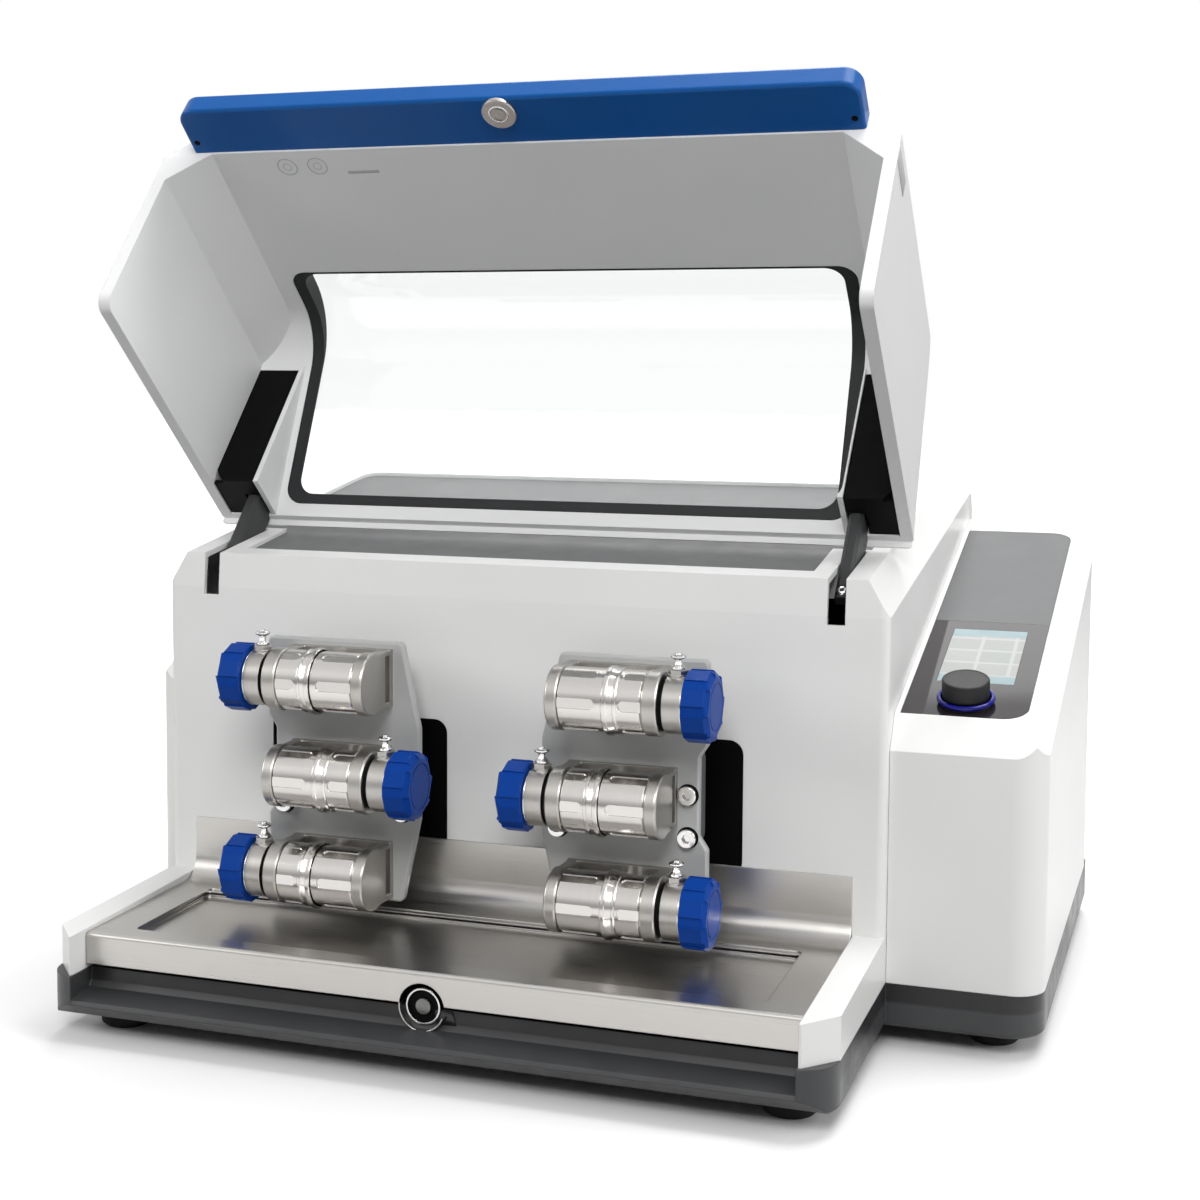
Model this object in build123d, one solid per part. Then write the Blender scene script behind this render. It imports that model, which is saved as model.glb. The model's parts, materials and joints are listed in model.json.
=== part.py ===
from build123d import *
import math
import os

# Mixer mill, bench instrument with a lid, drawn with the lid open.
# Working datum: x from the housing's left side, y from its front wall, z from the underside of the base pan.
# Every piece is moved at the end to the part frame: origin at the centre of the footprint, on the bench.
# All sizes are in millimetres.

# Overall sizes
overall_depth = 585.0
foot_height = 15.0
housing_width = 548.0
side_cover_projection = 38.0
console_width = 104.0
nose_length = 172.0
overall_width = side_cover_projection + housing_width + console_width
rear_y = overall_depth - nose_length
middle_x = housing_width / 2

# Clearances
seat_gap = 0.3
running_gap = 0.05
fit_gap = 0.2

# Base pan
pan_height = 30.0
pan_floor = 5.0
pan_wall = 6.0
pan_corner_radius = 26.0
pan_edge_bevel = 2.0
nose_undercut = 14.0
nose_ridge_z = 13.5
nose_shelf_y = -149.0
nose_shelf_z = 17.0
foot_radius = 18.0
foot_inset = 36.0

# Main housing
shell_wall = 4.0
housing_corner_radius = 6.0
crease_z = 279.75
deck_front_z = 305.4
wall_lean = 2.3
deck_slope = 0.1515
deck_end_margin = 53.0
deck_end_y = rear_y - deck_end_margin
rear_bevel_margin = 11.0
rear_bevel_y = rear_y - rear_bevel_margin
rear_bevel_z = 336.0
rear_bevel_drop = 22.0
side_bevel_width = 15.0
arm_width = 21.3
arm_tip_y = -169.0
arm_root_z = 62.65
arm_tip_z = 57.0
arm_bevel_length = 22.0
arm_tip_strip = 1.5

# Wall openings for the two rocker arms, and the rubber seals in them
drive_shift = -5.7
drive_centre_x = middle_x + drive_shift
opening_offset = 110.2
opening_width = 141.0
opening_bottom_z = 96.0
opening_top_z = 191.0
opening_radius = 10.0
seal_thickness = 6.0

# Grey inlay panel in the deck
inlay_recess = 3.0
inlay_thickness = 2.5
inlay_rear_x = 28.0
inlay_front_x = 56.0
inlay_front_y = 20.0
inlay_step_y = 84.0
inlay_rear_margin = 63.0
inlay_rear_y = deck_end_y - inlay_rear_margin
inlay_corner_radius = 14.0

# Drip tray
sheet = 1.5
tray_side_gap = 0.5
tray_back_top_z = 103.5
tray_rear_z = 57.6
tray_front_z = 55.4
tray_lip_y = -151.0
tray_lip_bottom_z = 33.5
tray_lip_radius = 3.0
tray_cove_radius = 18.0
tray_recess_margin = 28.0
tray_recess_front = 18.0
tray_recess_rear = 34.0
tray_recess_depth = 5.0
tray_step_width = 5.0
tray_step_depth = 0.7
magnet_notch_radius = 16.0

# Lid magnet and its armature on the handle bar
magnet_z = 31.5
magnet_radius = 12.0
magnet_core_radius = 5.5
magnet_face_y = -148.2
magnet_length = 10.0
magnet_stem = 6.0
armature_radius = 12.5
armature_thickness = 3.0

# Lid
hinge_y = 46.25
hinge_z = 296.64
lid_open_angle = 132.75
lid_overhang = 1.3
lid_wall = 9.0
lid_front_y = -170.0
lid_front_inner_y = -150.0
lid_bottom_z = 58.6
lid_bottom_rear_z = 64.2
lid_wall_gap = 1.0
lid_kink_z = 251.0
lid_rear_y = 4.0
lid_rear_top_z = 309.5
lid_rear_chamfer = 1.2
lid_top_wall = 6.0
lid_kink_radius = 60.0
lid_inner_kink_radius = 44.0
lid_foot_radius = 10.0
lid_inner_corner_x = 30.0
lid_inner_corner_y = 26.0
lid_corner_bevel_x = 22.0
lid_corner_bevel_y = 23.0
lid_edge_radius = 4.0
lid_rib_x = 43.5
lid_rib_wall = 4.0
lid_rib_z = 260.0

# Window in the lid
window_left_x = 63.0
window_right_margin = 55.0
window_right_x = housing_width - window_right_margin
window_low_z = 184.0
window_rear_y = -21.0
window_radius = 14.0
gasket_side = 10.0
gasket_front = 2.5
gasket_rear = 8.0
pane_thickness = 4.0
pane_recess = 0.6

# Handle bar along the lid's lower front edge
bar_rear_y = -151.6
bar_front_y = -169.4
bar_low_z = 19.2
bar_end_gap = 1.2
bar_corner_radius = 13.0
bar_edge_radius = 2.5

# Hinge arms of the lid and the slots that they sink into
slot_x = 30.1
slot_width = 12.4
slot_bottom_z = 274.0
slot_rear_y = 80.0
hinge_arm_width = 10.4
hinge_arm_front_y = -56.0
hinge_arm_rear_y = 70.5
hinge_arm_low_z = 278.0
hinge_arm_top_z = 304.5
hinge_arm_bevel = 2.5
hinge_pin_radius = 4.0
hinge_boss_width = 7.0
hinge_boss_half = 9.0
stop_screw_radius = 3.3
stop_screw_y = 65.5

# Covers of the hinge arms inside the lid
cover_low_z = 261.2
cover_tip_gap = 1.0
cover_plate = 3.0
cover_rear_y = -2.2

# Rocker drives
rocker_offset = 105.3
rocker_pivot_y = 62.0
rocker_swing_deg = 3.0
rocker_shaft_radius = 12.0
hub_radius = 28.0
hub_bottom_z = 75.0
hub_top_z = 242.0
neck_half_width = 24.0
neck_bottom_z = 112.0
neck_top_z = 176.0
head_half_width = 53.0
head_bottom_z = 118.0
head_top_z = 192.0
head_depth = 14.0
tail_half_width = 15.0
tail_thickness = 10.0
left_tail_z = 80.0
right_tail_z = 94.0
fork_prong = 8.0
fork_start = 84.0
fork_end = 130.0
fork_clearance = 3.5

# Holder plates, on the rockers
plate_front_y = -36.0
plate_thickness = 6.0
plate_corner_radius = 4.0
plate_edge_bevel = 1.4
plate_centre_z = 157.5
plate_half_height = 93.5
plate_outer_x = 60.0
plate_waist_x = 54.0
plate_waist_top = 27.0
plate_waist_step = 9.0
plate_inner_x = 46.0
plate_bulge_x = 59.0
plate_bulge_half = 33.0
plate_screw_x = 46.4
plate_screw_upper_z = 158.8
plate_screw_lower_z = 129.4
plate_screw_head_radius = 6.5
plate_screw_head = 5.0
plate_screw_shank_radius = 4.0
plate_screw_length = 14.0
plate_screw_socket = 3.2

# Jar stations: w runs along the jar axis from the station's middle, with the handwheel at the negative end
station_rows = [225.8, 156.6, 87.4]
station_axis_y = -67.0
wheel_end_w = -73.5
sleeve_start_w = -54.8
groove_start_w = -41.5
flange_start_w = -38.3
jar_start_w = -28.0
jar_end_w = 30.5
holder_end_w = 39.0
wheel_radius = 24.6
wheel_flat = 23.4
wheel_lobes = 8
wheel_notch_width = 7.0
wheel_notch_floor = 22.9
wheel_front_bevel = 4.5
wheel_front_slope = 3.0
wheel_rear_radius = 1.0
wheel_disc_radius = 16.5
wheel_disc_step = 0.8
sleeve_radius = 19.5
groove_radius = 17.2
flange_radius = 22.0
sleeve_edge = 1.0
holder_edge = 1.8
holder_web = 3.5
holder_window_depth = 4.0
holder_window_run = 13.0
holder_lip_radius = 2.0
holder_half_height = 20.5
holder_back = 5.0
spindle_radius = 7.0
pad_radius = 15.0
pad_thickness = 4.0
pad_stub_radius = 4.0
pad_socket = 2.6
pad_pocket_gap = 0.4
clamp_travel = 4.0
jar_radius = 21.3
jar_collar_radius = 23.4
jar_band_radius = 22.4
jar_neck_radius = 21.8
jar_collar_start_w = -11.0
jar_split_w = -1.0
jar_edge = 1.2
jar_bore_radius = 16.0
jar_end_wall = 6.0
jar_bore_fillet = 9.0
jar_slot_count = 6
jar_slot_width = 7.0
jar_slot_depth = 0.9
plunger_w = -47.5
plunger_radius = 2.5
plunger_head_radius = 5.3
plunger_button_radius = 2.0
plunger_waist_radius = 2.3
plunger_skirt_radius = 4.6
plunger_boss_radius = 7.2
plunger_boss_top = 20.3
plunger_nut_radius = 6.8
plunger_nut_top = 23.5
plunger_waist_low = 27.5
plunger_waist_top = 30.5
plunger_top = 34.5

# Drive frame, motor and eccentric
frame_left_x = 62.0
frame_right_margin = 74.0
frame_right_x = housing_width - frame_right_margin
frame_front_y = 24.0
frame_rear_y = 250.0
frame_plate = 10.0
frame_leg = 18.0
bridge_bottom_z = 246.0
bridge_thickness = 10.0
bridge_rear_y = 176.0
eccentric_y = 110.0
motor_radius = 58.0
motor_bottom_z = 122.0
eccentric_shaft_radius = 9.0
eccentric_throw = 5.0
journal_radius = 13.0
journal_bottom_z = 74.0
journal_top_z = 110.0
counterweight_radius = 40.0
counterweight_bottom_z = 44.0
counterweight_thickness = 12.0
bearing_boss_top_z = 40.0

# Console and the low cover on the other side
console_front_y = 8.2
console_rear_margin = 21.0
console_rear_y = rear_y - console_rear_margin
console_top_y = 23.1
console_top_z = 212.6
console_slope = 0.284
console_facet_drop = 23.0
console_facet_run = 16.0
console_corner_radius = 22.0
console_inlay_left = 3.6
console_inlay_right = 16.0
console_inlay_front_y = 25.0
console_inlay_rear_margin = 25.0
console_inlay_rear_y = console_rear_y - console_inlay_rear_margin
console_inlay_split_y = 182.0
console_inlay_radius = 17.0
console_pocket = 3.0
glass_thickness = 2.4
glass_joint = 0.4
screen_x = 20.0
screen_width = 53.5
screen_front_y = 79.0
screen_rear_y = 168.0
dial_x = 45.0
dial_y = 47.6
dial_ring_radius = 19.8
dial_ring_bore = 17.0
dial_ring_height = 5.5
knob_radius = 16.2
knob_height = 18.0
knob_skirt = 15.4
knob_stem_radius = 3.0
knob_stem_length = 9.0
side_cover_front_y = 40.0
side_cover_rear_y = rear_y - console_rear_margin

# Rear panel
rear_panel_x = 60.0
rear_panel_margin = 58.0
rear_panel_width = housing_width - rear_panel_x - rear_panel_margin
rear_panel_low_z = 52.0
rear_panel_high_z = 270.0
rear_panel_thickness = 3.0
vent_rows = 9
vent_length = 150.0
vent_height = 5.0
vent_pitch = 12.0
vent_low_z = 120.0
vent_x = 95.0
inlet_margin = 50.0
inlet_x = rear_panel_x + rear_panel_width - inlet_margin
inlet_z = 86.0
inlet_width = 30.0
inlet_height = 24.0
inlet_depth = 24.0
switch_spacing = 55.0
switch_x = inlet_x - switch_spacing
switch_width = 14.0
switch_height = 22.0
switch_gap = 1.0
switch_pin_radius = 2.0


def block(x0, x1, y0, y1, z0, z1):
    return Pos((x0 + x1) / 2, (y0 + y1) / 2, (z0 + z1) / 2) * Box(x1 - x0, y1 - y0, z1 - z0)


def outline(points):
    return make_face(Polyline(*points, close=True))


def side_prism(points, x0, x1):
    """Closed outline of (y, z) points, extruded from x0 to x1."""
    return extrude(Plane.YZ.offset(x0) * outline(points), x1 - x0)


def plan_prism(points, z0, z1):
    """Closed outline of (x, y) points, extruded from z0 to z1."""
    return extrude(Plane.XY.offset(z0) * outline(points), z1 - z0)


def rod_x(x0, x1, y, z, radius):
    return Pos((x0 + x1) / 2, y, z) * Rot(0, 90, 0) * Cylinder(radius, x1 - x0)


def rod_y(y0, y1, x, z, radius):
    return Pos(x, (y0 + y1) / 2, z) * Rot(90, 0, 0) * Cylinder(radius, y1 - y0)


def rod_z(z0, z1, x, y, radius):
    return Pos(x, y, (z0 + z1) / 2) * Cylinder(radius, z1 - z0)


def mirrored(shape, plane_x):
    return mirror(shape, Plane.YZ.offset(plane_x))


def vertical_edges(shape):
    return shape.edges().filter_by(Axis.Z)


def deck_z(y):
    return deck_front_z + deck_slope * (y - wall_lean)


def console_z(y):
    return console_top_z + console_slope * (y - console_top_y)


def lid_slope():
    return (lid_rear_top_z - lid_kink_z) / (lid_rear_y - lid_front_y)


def lid_top_z(y):
    return lid_kink_z + lid_slope() * (y - lid_front_y)


def opened(shape):
    """Turns a lid piece, drawn closed, to the open rest pose about the hinge pins."""
    to_hinge = Pos(0, hinge_y, hinge_z)
    return to_hinge * Rot(-lid_open_angle, 0, 0) * Pos(0, -hinge_y, -hinge_z) * shape


# Base pan and feet

def pan_plan(inset):
    left = -side_cover_projection + inset
    right = housing_width + console_width - inset
    return [
        (inset, -nose_length + inset),
        (housing_width - inset, -nose_length + inset),
        (housing_width - inset, console_front_y + inset),
        (right, console_front_y + inset),
        (right, rear_y - inset),
        (left, rear_y - inset),
        (left, side_cover_front_y + inset),
        (inset, side_cover_front_y + inset),
    ]


def make_base_pan():
    pan = plan_prism(pan_plan(0), 0, pan_height)
    pan = fillet(vertical_edges(pan).group_by(Axis.Y)[0], pan_corner_radius)
    outer_corners = [e for e in vertical_edges(pan) if e.center().X > housing_width + console_width - 1]
    pan = fillet(outer_corners, pan_corner_radius)
    rear_left = [e for e in vertical_edges(pan) if e.center().X < 1 - side_cover_projection]
    pan = fillet(rear_left, pan_corner_radius / 2)
    nose = side_prism(
        [
            (-nose_length + nose_undercut, -1),
            (-nose_length, nose_ridge_z - 3),
            (-nose_length + 1.5, nose_ridge_z),
            (nose_shelf_y, nose_shelf_z),
            (nose_shelf_y + 3, nose_shelf_z + 4),
            (nose_shelf_y + 4, pan_height + 1),
            (-nose_length - 1, pan_height + 1),
            (-nose_length - 1, -1),
        ],
        arm_width + 1,
        housing_width - arm_width - 1,
    )
    tip = side_prism(
        [
            (-nose_length + nose_undercut, -1),
            (-nose_length, nose_ridge_z - 3),
            (-nose_length - 1, nose_ridge_z - 3),
            (-nose_length - 1, -1),
        ],
        -1,
        housing_width + 1,
    )
    pocket = block(
        pan_wall, housing_width - pan_wall, pan_wall + 4, rear_y - pan_wall, pan_floor, pan_height + 1
    )
    magnet_pocket = rod_y(
        nose_shelf_y - 1, magnet_face_y + magnet_length + magnet_stem + 0.5, middle_x, magnet_z,
        magnet_radius + 0.4,
    )
    pan = pan - nose - tip
    pan = chamfer(pan.edges().group_by(Axis.Z)[0], pan_edge_bevel)
    return pan - pocket - magnet_pocket


def make_feet():
    foot = Cylinder(foot_radius, foot_height, align=(Align.CENTER, Align.CENTER, Align.MAX))
    foot = chamfer(foot.edges().group_by(Axis.Z)[0], 2.5)
    spots = [
        (foot_inset, -nose_length + foot_inset + nose_undercut),
        (housing_width - foot_inset, -nose_length + foot_inset + nose_undercut),
        (foot_inset, rear_y - foot_inset),
        (housing_width - foot_inset, rear_y - foot_inset),
        (housing_width + console_width - foot_inset, console_front_y + foot_inset + 8),
        (housing_width + console_width - foot_inset, rear_y - foot_inset),
    ]
    return Compound([Pos(x, y, 0) * foot for x, y in spots])


# Main housing

def housing_profile(inset, bottom_z):
    top = inset
    return [
        (inset, bottom_z),
        (inset, crease_z),
        (wall_lean + inset, deck_front_z - top),
        (deck_end_y, deck_z(deck_end_y) - top),
        (rear_bevel_y - inset, rear_bevel_z - top / 2),
        (rear_y - inset, rear_bevel_z - rear_bevel_drop),
        (rear_y - inset, bottom_z),
    ]


def side_bevel(inset):
    """Wedge that bevels the deck's left edge; it follows the deck's slope."""
    drop = deck_front_z - crease_z
    corner = [
        (inset - 1, crease_z - inset - drop / side_bevel_width),
        (inset + side_bevel_width + 1, deck_front_z - inset + drop / side_bevel_width),
        (inset - 1, deck_front_z + 40),
    ]
    face = make_face(Polyline(*[(x, 0, z) for x, z in corner], close=True))
    run = rear_y + 40
    start = face.moved(Location((0, -20, -20 * deck_slope)))
    return extrude(start, amount=run * math.sqrt(1 + deck_slope ** 2), dir=(0, 1, deck_slope))


def make_side_arm():
    plan = plan_prism(
        [
            (0, 1),
            (arm_width, 1),
            (arm_width, arm_tip_y),
            (arm_width - arm_tip_strip, arm_tip_y),
            (0, arm_tip_y + arm_bevel_length),
        ],
        pan_height,
        arm_root_z + 5,
    )
    above = side_prism(
        [(1, arm_root_z), (0, arm_root_z), (arm_tip_y - 1, arm_tip_z), (arm_tip_y - 1, arm_root_z + 9), (1, arm_root_z + 9)],
        -1,
        arm_width + 1,
    )
    return plan - above


def hinge_slot_left():
    return block(slot_x, slot_x + slot_width, -2, slot_rear_y, slot_bottom_z, deck_z(slot_rear_y) + 5)


def hinge_bosses_left():
    """Two ears under the deck that carry the left hinge pin."""
    ears = []
    for x in (slot_x - hinge_boss_width, slot_x + slot_width):
        ear = block(
            x, x + hinge_boss_width, hinge_y - hinge_boss_half, hinge_y + hinge_boss_half,
            hinge_z - hinge_boss_half, deck_z(hinge_y) - shell_wall + 1,
        )
        ears.append(ear - rod_x(x - 1, x + hinge_boss_width + 1, hinge_y, hinge_z, hinge_pin_radius + running_gap))
    return ears


def wall_opening_plan(inset, y0, y1, centre_x):
    half = opening_width / 2 - inset
    opening = block(
        centre_x - half, centre_x + half, y0, y1, opening_bottom_z + inset, opening_top_z - inset
    )
    return fillet(opening.edges().filter_by(Axis.Y), opening_radius - inset)


def opening_centres():
    return (drive_centre_x - opening_offset, drive_centre_x + opening_offset)


def inlay_plan(inset):
    return [
        (inlay_front_x + inset, inlay_front_y + inset),
        (housing_width - inlay_front_x - inset, inlay_front_y + inset),
        (housing_width - inlay_front_x - inset, inlay_step_y + inset),
        (housing_width - inlay_rear_x - inset, inlay_step_y + inset),
        (housing_width - inlay_rear_x - inset, inlay_rear_y - inset),
        (inlay_rear_x + inset, inlay_rear_y - inset),
        (inlay_rear_x + inset, inlay_step_y + inset),
        (inlay_front_x + inset, inlay_step_y + inset),
    ]


def deck_layer(top_drop, bottom_drop):
    """Slab between two planes parallel to the deck, at the given depths under it."""
    return side_prism(
        [
            (0, deck_z(0) - bottom_drop),
            (deck_end_y, deck_z(deck_end_y) - bottom_drop),
            (deck_end_y, deck_z(deck_end_y) - top_drop),
            (0, deck_z(0) - top_drop),
        ],
        0,
        housing_width,
    )


def inlay_column(inset):
    column = plan_prism(inlay_plan(inset), deck_front_z - 30, deck_z(deck_end_y) + 30)
    rear_corners = vertical_edges(column).group_by(Axis.Y)[-1]
    return fillet(rear_corners, inlay_corner_radius)


def make_main_housing():
    body = side_prism(housing_profile(0, pan_height), 0, housing_width)
    body = body - side_bevel(0) - mirrored(side_bevel(0), middle_x)
    hollow = side_prism(housing_profile(shell_wall, pan_height - 1), shell_wall, housing_width - shell_wall)
    hollow = hollow - side_bevel(shell_wall) - mirrored(side_bevel(shell_wall), middle_x)
    body = body - hollow
    arm = make_side_arm()
    body = body + arm + mirrored(arm, middle_x)
    # The deck is thicker under the inlay's pocket.
    pad = inlay_column(-3) & deck_layer(shell_wall - 1, shell_wall + inlay_recess + inlay_thickness)
    body = body + pad
    body = body - (inlay_column(0) & deck_layer(-5, inlay_recess + inlay_thickness))
    for ear in hinge_bosses_left():
        body = body + ear + mirrored(ear, middle_x)
    slot = hinge_slot_left()
    body = body - slot - mirrored(slot, middle_x)
    for centre in opening_centres():
        body = body - wall_opening_plan(0, -1, shell_wall + 1, centre)
    corners = [
        e for e in vertical_edges(body)
        if e.length > 200 and (e.center().X < 0.1 or e.center().X > housing_width - 0.1)
    ]
    body = fillet(corners, housing_corner_radius)
    panel_hole = block(
        rear_panel_x, rear_panel_x + rear_panel_width, rear_y - shell_wall - 1, rear_y + 1,
        rear_panel_low_z, rear_panel_high_z,
    )
    return body - panel_hole


def make_top_inlay():
    return inlay_column(fit_gap) & deck_layer(inlay_recess, inlay_recess + inlay_thickness)


def make_wall_seals():
    seals = []
    swing = rocker_pivot_y * math.sin(math.radians(rocker_swing_deg))
    half_slot = neck_half_width + swing + 2
    side = -1
    for centre in opening_centres():
        seal = wall_opening_plan(fit_gap, 0.5, 0.5 + seal_thickness, centre)
        pivot_x = drive_centre_x + side * rocker_offset
        slot = block(pivot_x - half_slot, pivot_x + half_slot, -1, 9, neck_bottom_z - 3, neck_top_z + 3)
        seals.append(seal - fillet(slot.edges().filter_by(Axis.Y), opening_radius))
        side = 1
    return Compound(seals)


# Drip tray and lid magnet

def tray_plane_z(y):
    return tray_rear_z + (tray_rear_z - tray_front_z) / -tray_lip_y * y


def make_drip_tray():
    left = arm_width + tray_side_gap
    right = housing_width - arm_width - tray_side_gap
    cove_y = -tray_cove_radius - sheet
    cove_z = tray_plane_z(cove_y)
    mid = tray_cove_radius * (1 - math.sin(math.radians(45)))
    lip_mid = tray_lip_radius * (1 - math.sin(math.radians(45)))
    upper = [
        Line((0, tray_back_top_z), (-sheet, tray_back_top_z)),
        Line((-sheet, tray_back_top_z), (-sheet, cove_z + tray_cove_radius)),
        ThreePointArc(
            (-sheet, cove_z + tray_cove_radius),
            (-sheet - mid, cove_z + mid),
            (cove_y, cove_z),
        ),
        Line((cove_y, cove_z), (tray_lip_y + tray_lip_radius, tray_front_z)),
        ThreePointArc(
            (tray_lip_y + tray_lip_radius, tray_front_z),
            (tray_lip_y + lip_mid, tray_front_z - lip_mid),
            (tray_lip_y, tray_front_z - tray_lip_radius),
        ),
        Line((tray_lip_y, tray_front_z - tray_lip_radius), (tray_lip_y, tray_lip_bottom_z)),
        Line((tray_lip_y, tray_lip_bottom_z), (tray_lip_y + sheet, tray_lip_bottom_z)),
        Line((tray_lip_y + sheet, tray_lip_bottom_z), (tray_lip_y + sheet, tray_front_z - tray_lip_radius)),
        Line((tray_lip_y + sheet, tray_front_z - tray_lip_radius), (cove_y, cove_z - sheet)),
        Line((cove_y, cove_z - sheet), (0, cove_z - sheet)),
        Line((0, cove_z - sheet), (0, tray_back_top_z)),
    ]
    tray = extrude(Plane.YZ.offset(left) * make_face(upper), right - left)
    well_left = left + tray_recess_margin
    well_right = right - tray_recess_margin
    well_front = tray_lip_y + tray_recess_front
    well_rear = -tray_recess_rear

    def well(grow, floor_drop, top_z, rear):
        shape = side_prism(
            [
                (well_front - grow, tray_plane_z(well_front) - floor_drop),
                (rear + grow, tray_plane_z(rear) - floor_drop),
                (rear + grow, top_z),
                (well_front - grow, top_z),
            ],
            well_left - grow,
            well_right + grow,
        )
        return fillet(vertical_edges(shape), 4 + grow)

    tray = tray + well(sheet, tray_recess_depth + sheet, tray_front_z - sheet, well_rear)
    tray = tray - well(0, tray_recess_depth, tray_rear_z + 3, well_rear)
    tray = tray - well(0, tray_step_depth, tray_rear_z + 3, well_rear + tray_step_width)
    return tray - rod_y(tray_lip_y - 2, tray_lip_y + 4, middle_x, magnet_z, magnet_notch_radius)


def make_lid_magnet():
    y1 = magnet_face_y + magnet_length
    pot = rod_y(magnet_face_y, y1, middle_x, magnet_z, magnet_radius)
    groove = rod_y(magnet_face_y - 1, magnet_face_y + 2, middle_x, magnet_z, magnet_radius - 1.6)
    core = rod_y(magnet_face_y, magnet_face_y + 1.8, middle_x, magnet_z, magnet_core_radius)
    stem = rod_y(y1, y1 + magnet_stem, middle_x, magnet_z, magnet_core_radius)
    foot = block(
        middle_x - 16, middle_x + 22, y1 + 1, y1 + 4, pan_height, magnet_z + magnet_core_radius + 2
    )
    return (pot - groove) + core + (stem + foot)


# Lid

def lid_outer():
    right = housing_width + lid_overhang
    shape = side_prism(
        [
            (lid_front_y, lid_bottom_z),
            (lid_front_y, lid_kink_z),
            (lid_rear_y, lid_rear_top_z),
            (lid_rear_y, deck_z(lid_rear_y) + lid_wall_gap + 0.6),
            (-lid_wall_gap, deck_front_z + lid_wall_gap),
            (-lid_wall_gap, lid_bottom_rear_z),
            (arm_tip_y + arm_bevel_length, lid_bottom_z),
        ],
        -lid_overhang,
        right,
    )
    kink = [e for e in shape.edges().filter_by(Axis.X) if abs(e.center().Z - lid_kink_z) < 0.1]
    shape = fillet(kink, lid_kink_radius)
    foot = [
        e for e in shape.edges().filter_by(Axis.X)
        if abs(e.center().Y + lid_wall_gap) < 0.1 and abs(e.center().Z - lid_bottom_rear_z) < 0.1
    ]
    shape = fillet(foot, lid_foot_radius)
    bevel = plan_prism(
        [
            (-lid_overhang - 1, lid_front_y + lid_corner_bevel_y + 1),
            (-lid_overhang + lid_corner_bevel_x + 1, lid_front_y - 1),
            (-lid_overhang - 1, lid_front_y - 1),
        ],
        0,
        lid_rear_top_z + 20,
    )
    shape = shape - bevel - mirrored(bevel, middle_x)
    top_edges = [
        e for e in shape.edges()
        if e.center().Z > lid_kink_z + 4 and abs(abs(e.center().X - middle_x) - middle_x - lid_overhang) < 0.1
        and e.length > 12
    ]
    shape = fillet(top_edges, lid_edge_radius)
    rear_top = [
        e for e in shape.edges().filter_by(Axis.X)
        if abs(e.center().Y - lid_rear_y) < 0.1 and abs(e.center().Z - lid_rear_top_z) < 0.1
    ]
    return chamfer(rear_top, lid_rear_chamfer)


def lid_cavity():
    slope = lid_slope()
    drop = lid_top_wall * math.sqrt(1 + slope ** 2)
    left = lid_wall - lid_overhang
    cavity = side_prism(
        [
            (lid_front_inner_y, 0),
            (lid_front_inner_y, lid_top_z(lid_front_inner_y) - drop),
            (1, lid_top_z(1) - drop),
            (lid_rear_y + 1, lid_top_z(1) - drop + 5),
            (lid_rear_y + 1, 0),
        ],
        left,
        housing_width - left,
    )
    kink = [
        e for e in cavity.edges().filter_by(Axis.X)
        if abs(e.center().Y - lid_front_inner_y) < 0.1 and e.center().Z > 100
    ]
    cavity = fillet(kink, lid_inner_kink_radius)
    corner = plan_prism(
        [
            (left - 1, lid_front_inner_y - 1),
            (left + lid_inner_corner_x, lid_front_inner_y - 1),
            (left + lid_inner_corner_x, lid_front_inner_y),
            (left, lid_front_inner_y + lid_inner_corner_y),
            (left - 1, lid_front_inner_y + lid_inner_corner_y),
        ],
        -1,
        lid_rear_top_z,
    )
    return cavity - corner - mirrored(corner, middle_x)


def window_column(side, front, rear):
    """Tool that cuts the window; it wraps over the kink from the front panel to the top panel."""
    slope = lid_slope()
    y_rear = window_rear_y + rear
    z_low = window_low_z - front
    z_rear = lid_top_z(y_rear)
    tool = side_prism(
        [
            (lid_front_y - 30, z_low),
            (lid_front_inner_y + 20, z_low),
            (y_rear + 40 * slope, z_rear - 40),
            (y_rear - 40 * slope, z_rear + 40),
            (lid_front_y - 30, z_rear + 40),
        ],
        window_left_x - side,
        window_right_x + side,
    )
    low = [e for e in tool.edges().filter_by(Axis.Y) if abs(e.center().Z - z_low) < 0.1]
    tool = fillet(low, window_radius)
    rear_edges = [
        e for e in tool.edges()
        if abs(e.center().Z - z_rear) < 1 and abs(e.center().Y - y_rear) < 1 and e.length > 60
        and abs(e.tangent_at(0.5).X) < 0.1
    ]
    return fillet(rear_edges, window_radius)


def lid_band(outer_depth, inner_depth, front_inner):
    """Bent sheet between two depths under the lid's outer skin, as a side profile."""
    slope = lid_slope()
    lean = math.sqrt(1 + slope ** 2)

    def layer(depth):
        front = lid_front_y + depth
        shape = side_prism(
            [
                (front, 100),
                (front, lid_top_z(front) - depth * lean),
                (lid_rear_y - 4, lid_top_z(lid_rear_y - 4) - depth * lean),
                (lid_rear_y - 4, 100),
            ],
            10,
            housing_width - 10,
        )
        kink = [
            e for e in shape.edges().filter_by(Axis.X)
            if abs(e.center().Y - front) < 0.1 and e.center().Z > 150
        ]
        return fillet(kink, max(lid_kink_radius - depth, 2.0))

    if front_inner is None:
        return layer(outer_depth) - layer(inner_depth)
    drop = lid_top_wall * lean
    core = side_prism(
        [
            (front_inner, 99),
            (front_inner, lid_top_z(front_inner) - drop),
            (lid_rear_y, lid_top_z(lid_rear_y) - drop),
            (lid_rear_y, 99),
        ],
        9,
        housing_width - 9,
    )
    inner_kink = [
        e for e in core.edges().filter_by(Axis.X)
        if abs(e.center().Y - front_inner) < 0.1 and e.center().Z > 150
    ]
    return layer(outer_depth) - fillet(inner_kink, lid_inner_kink_radius)


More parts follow.
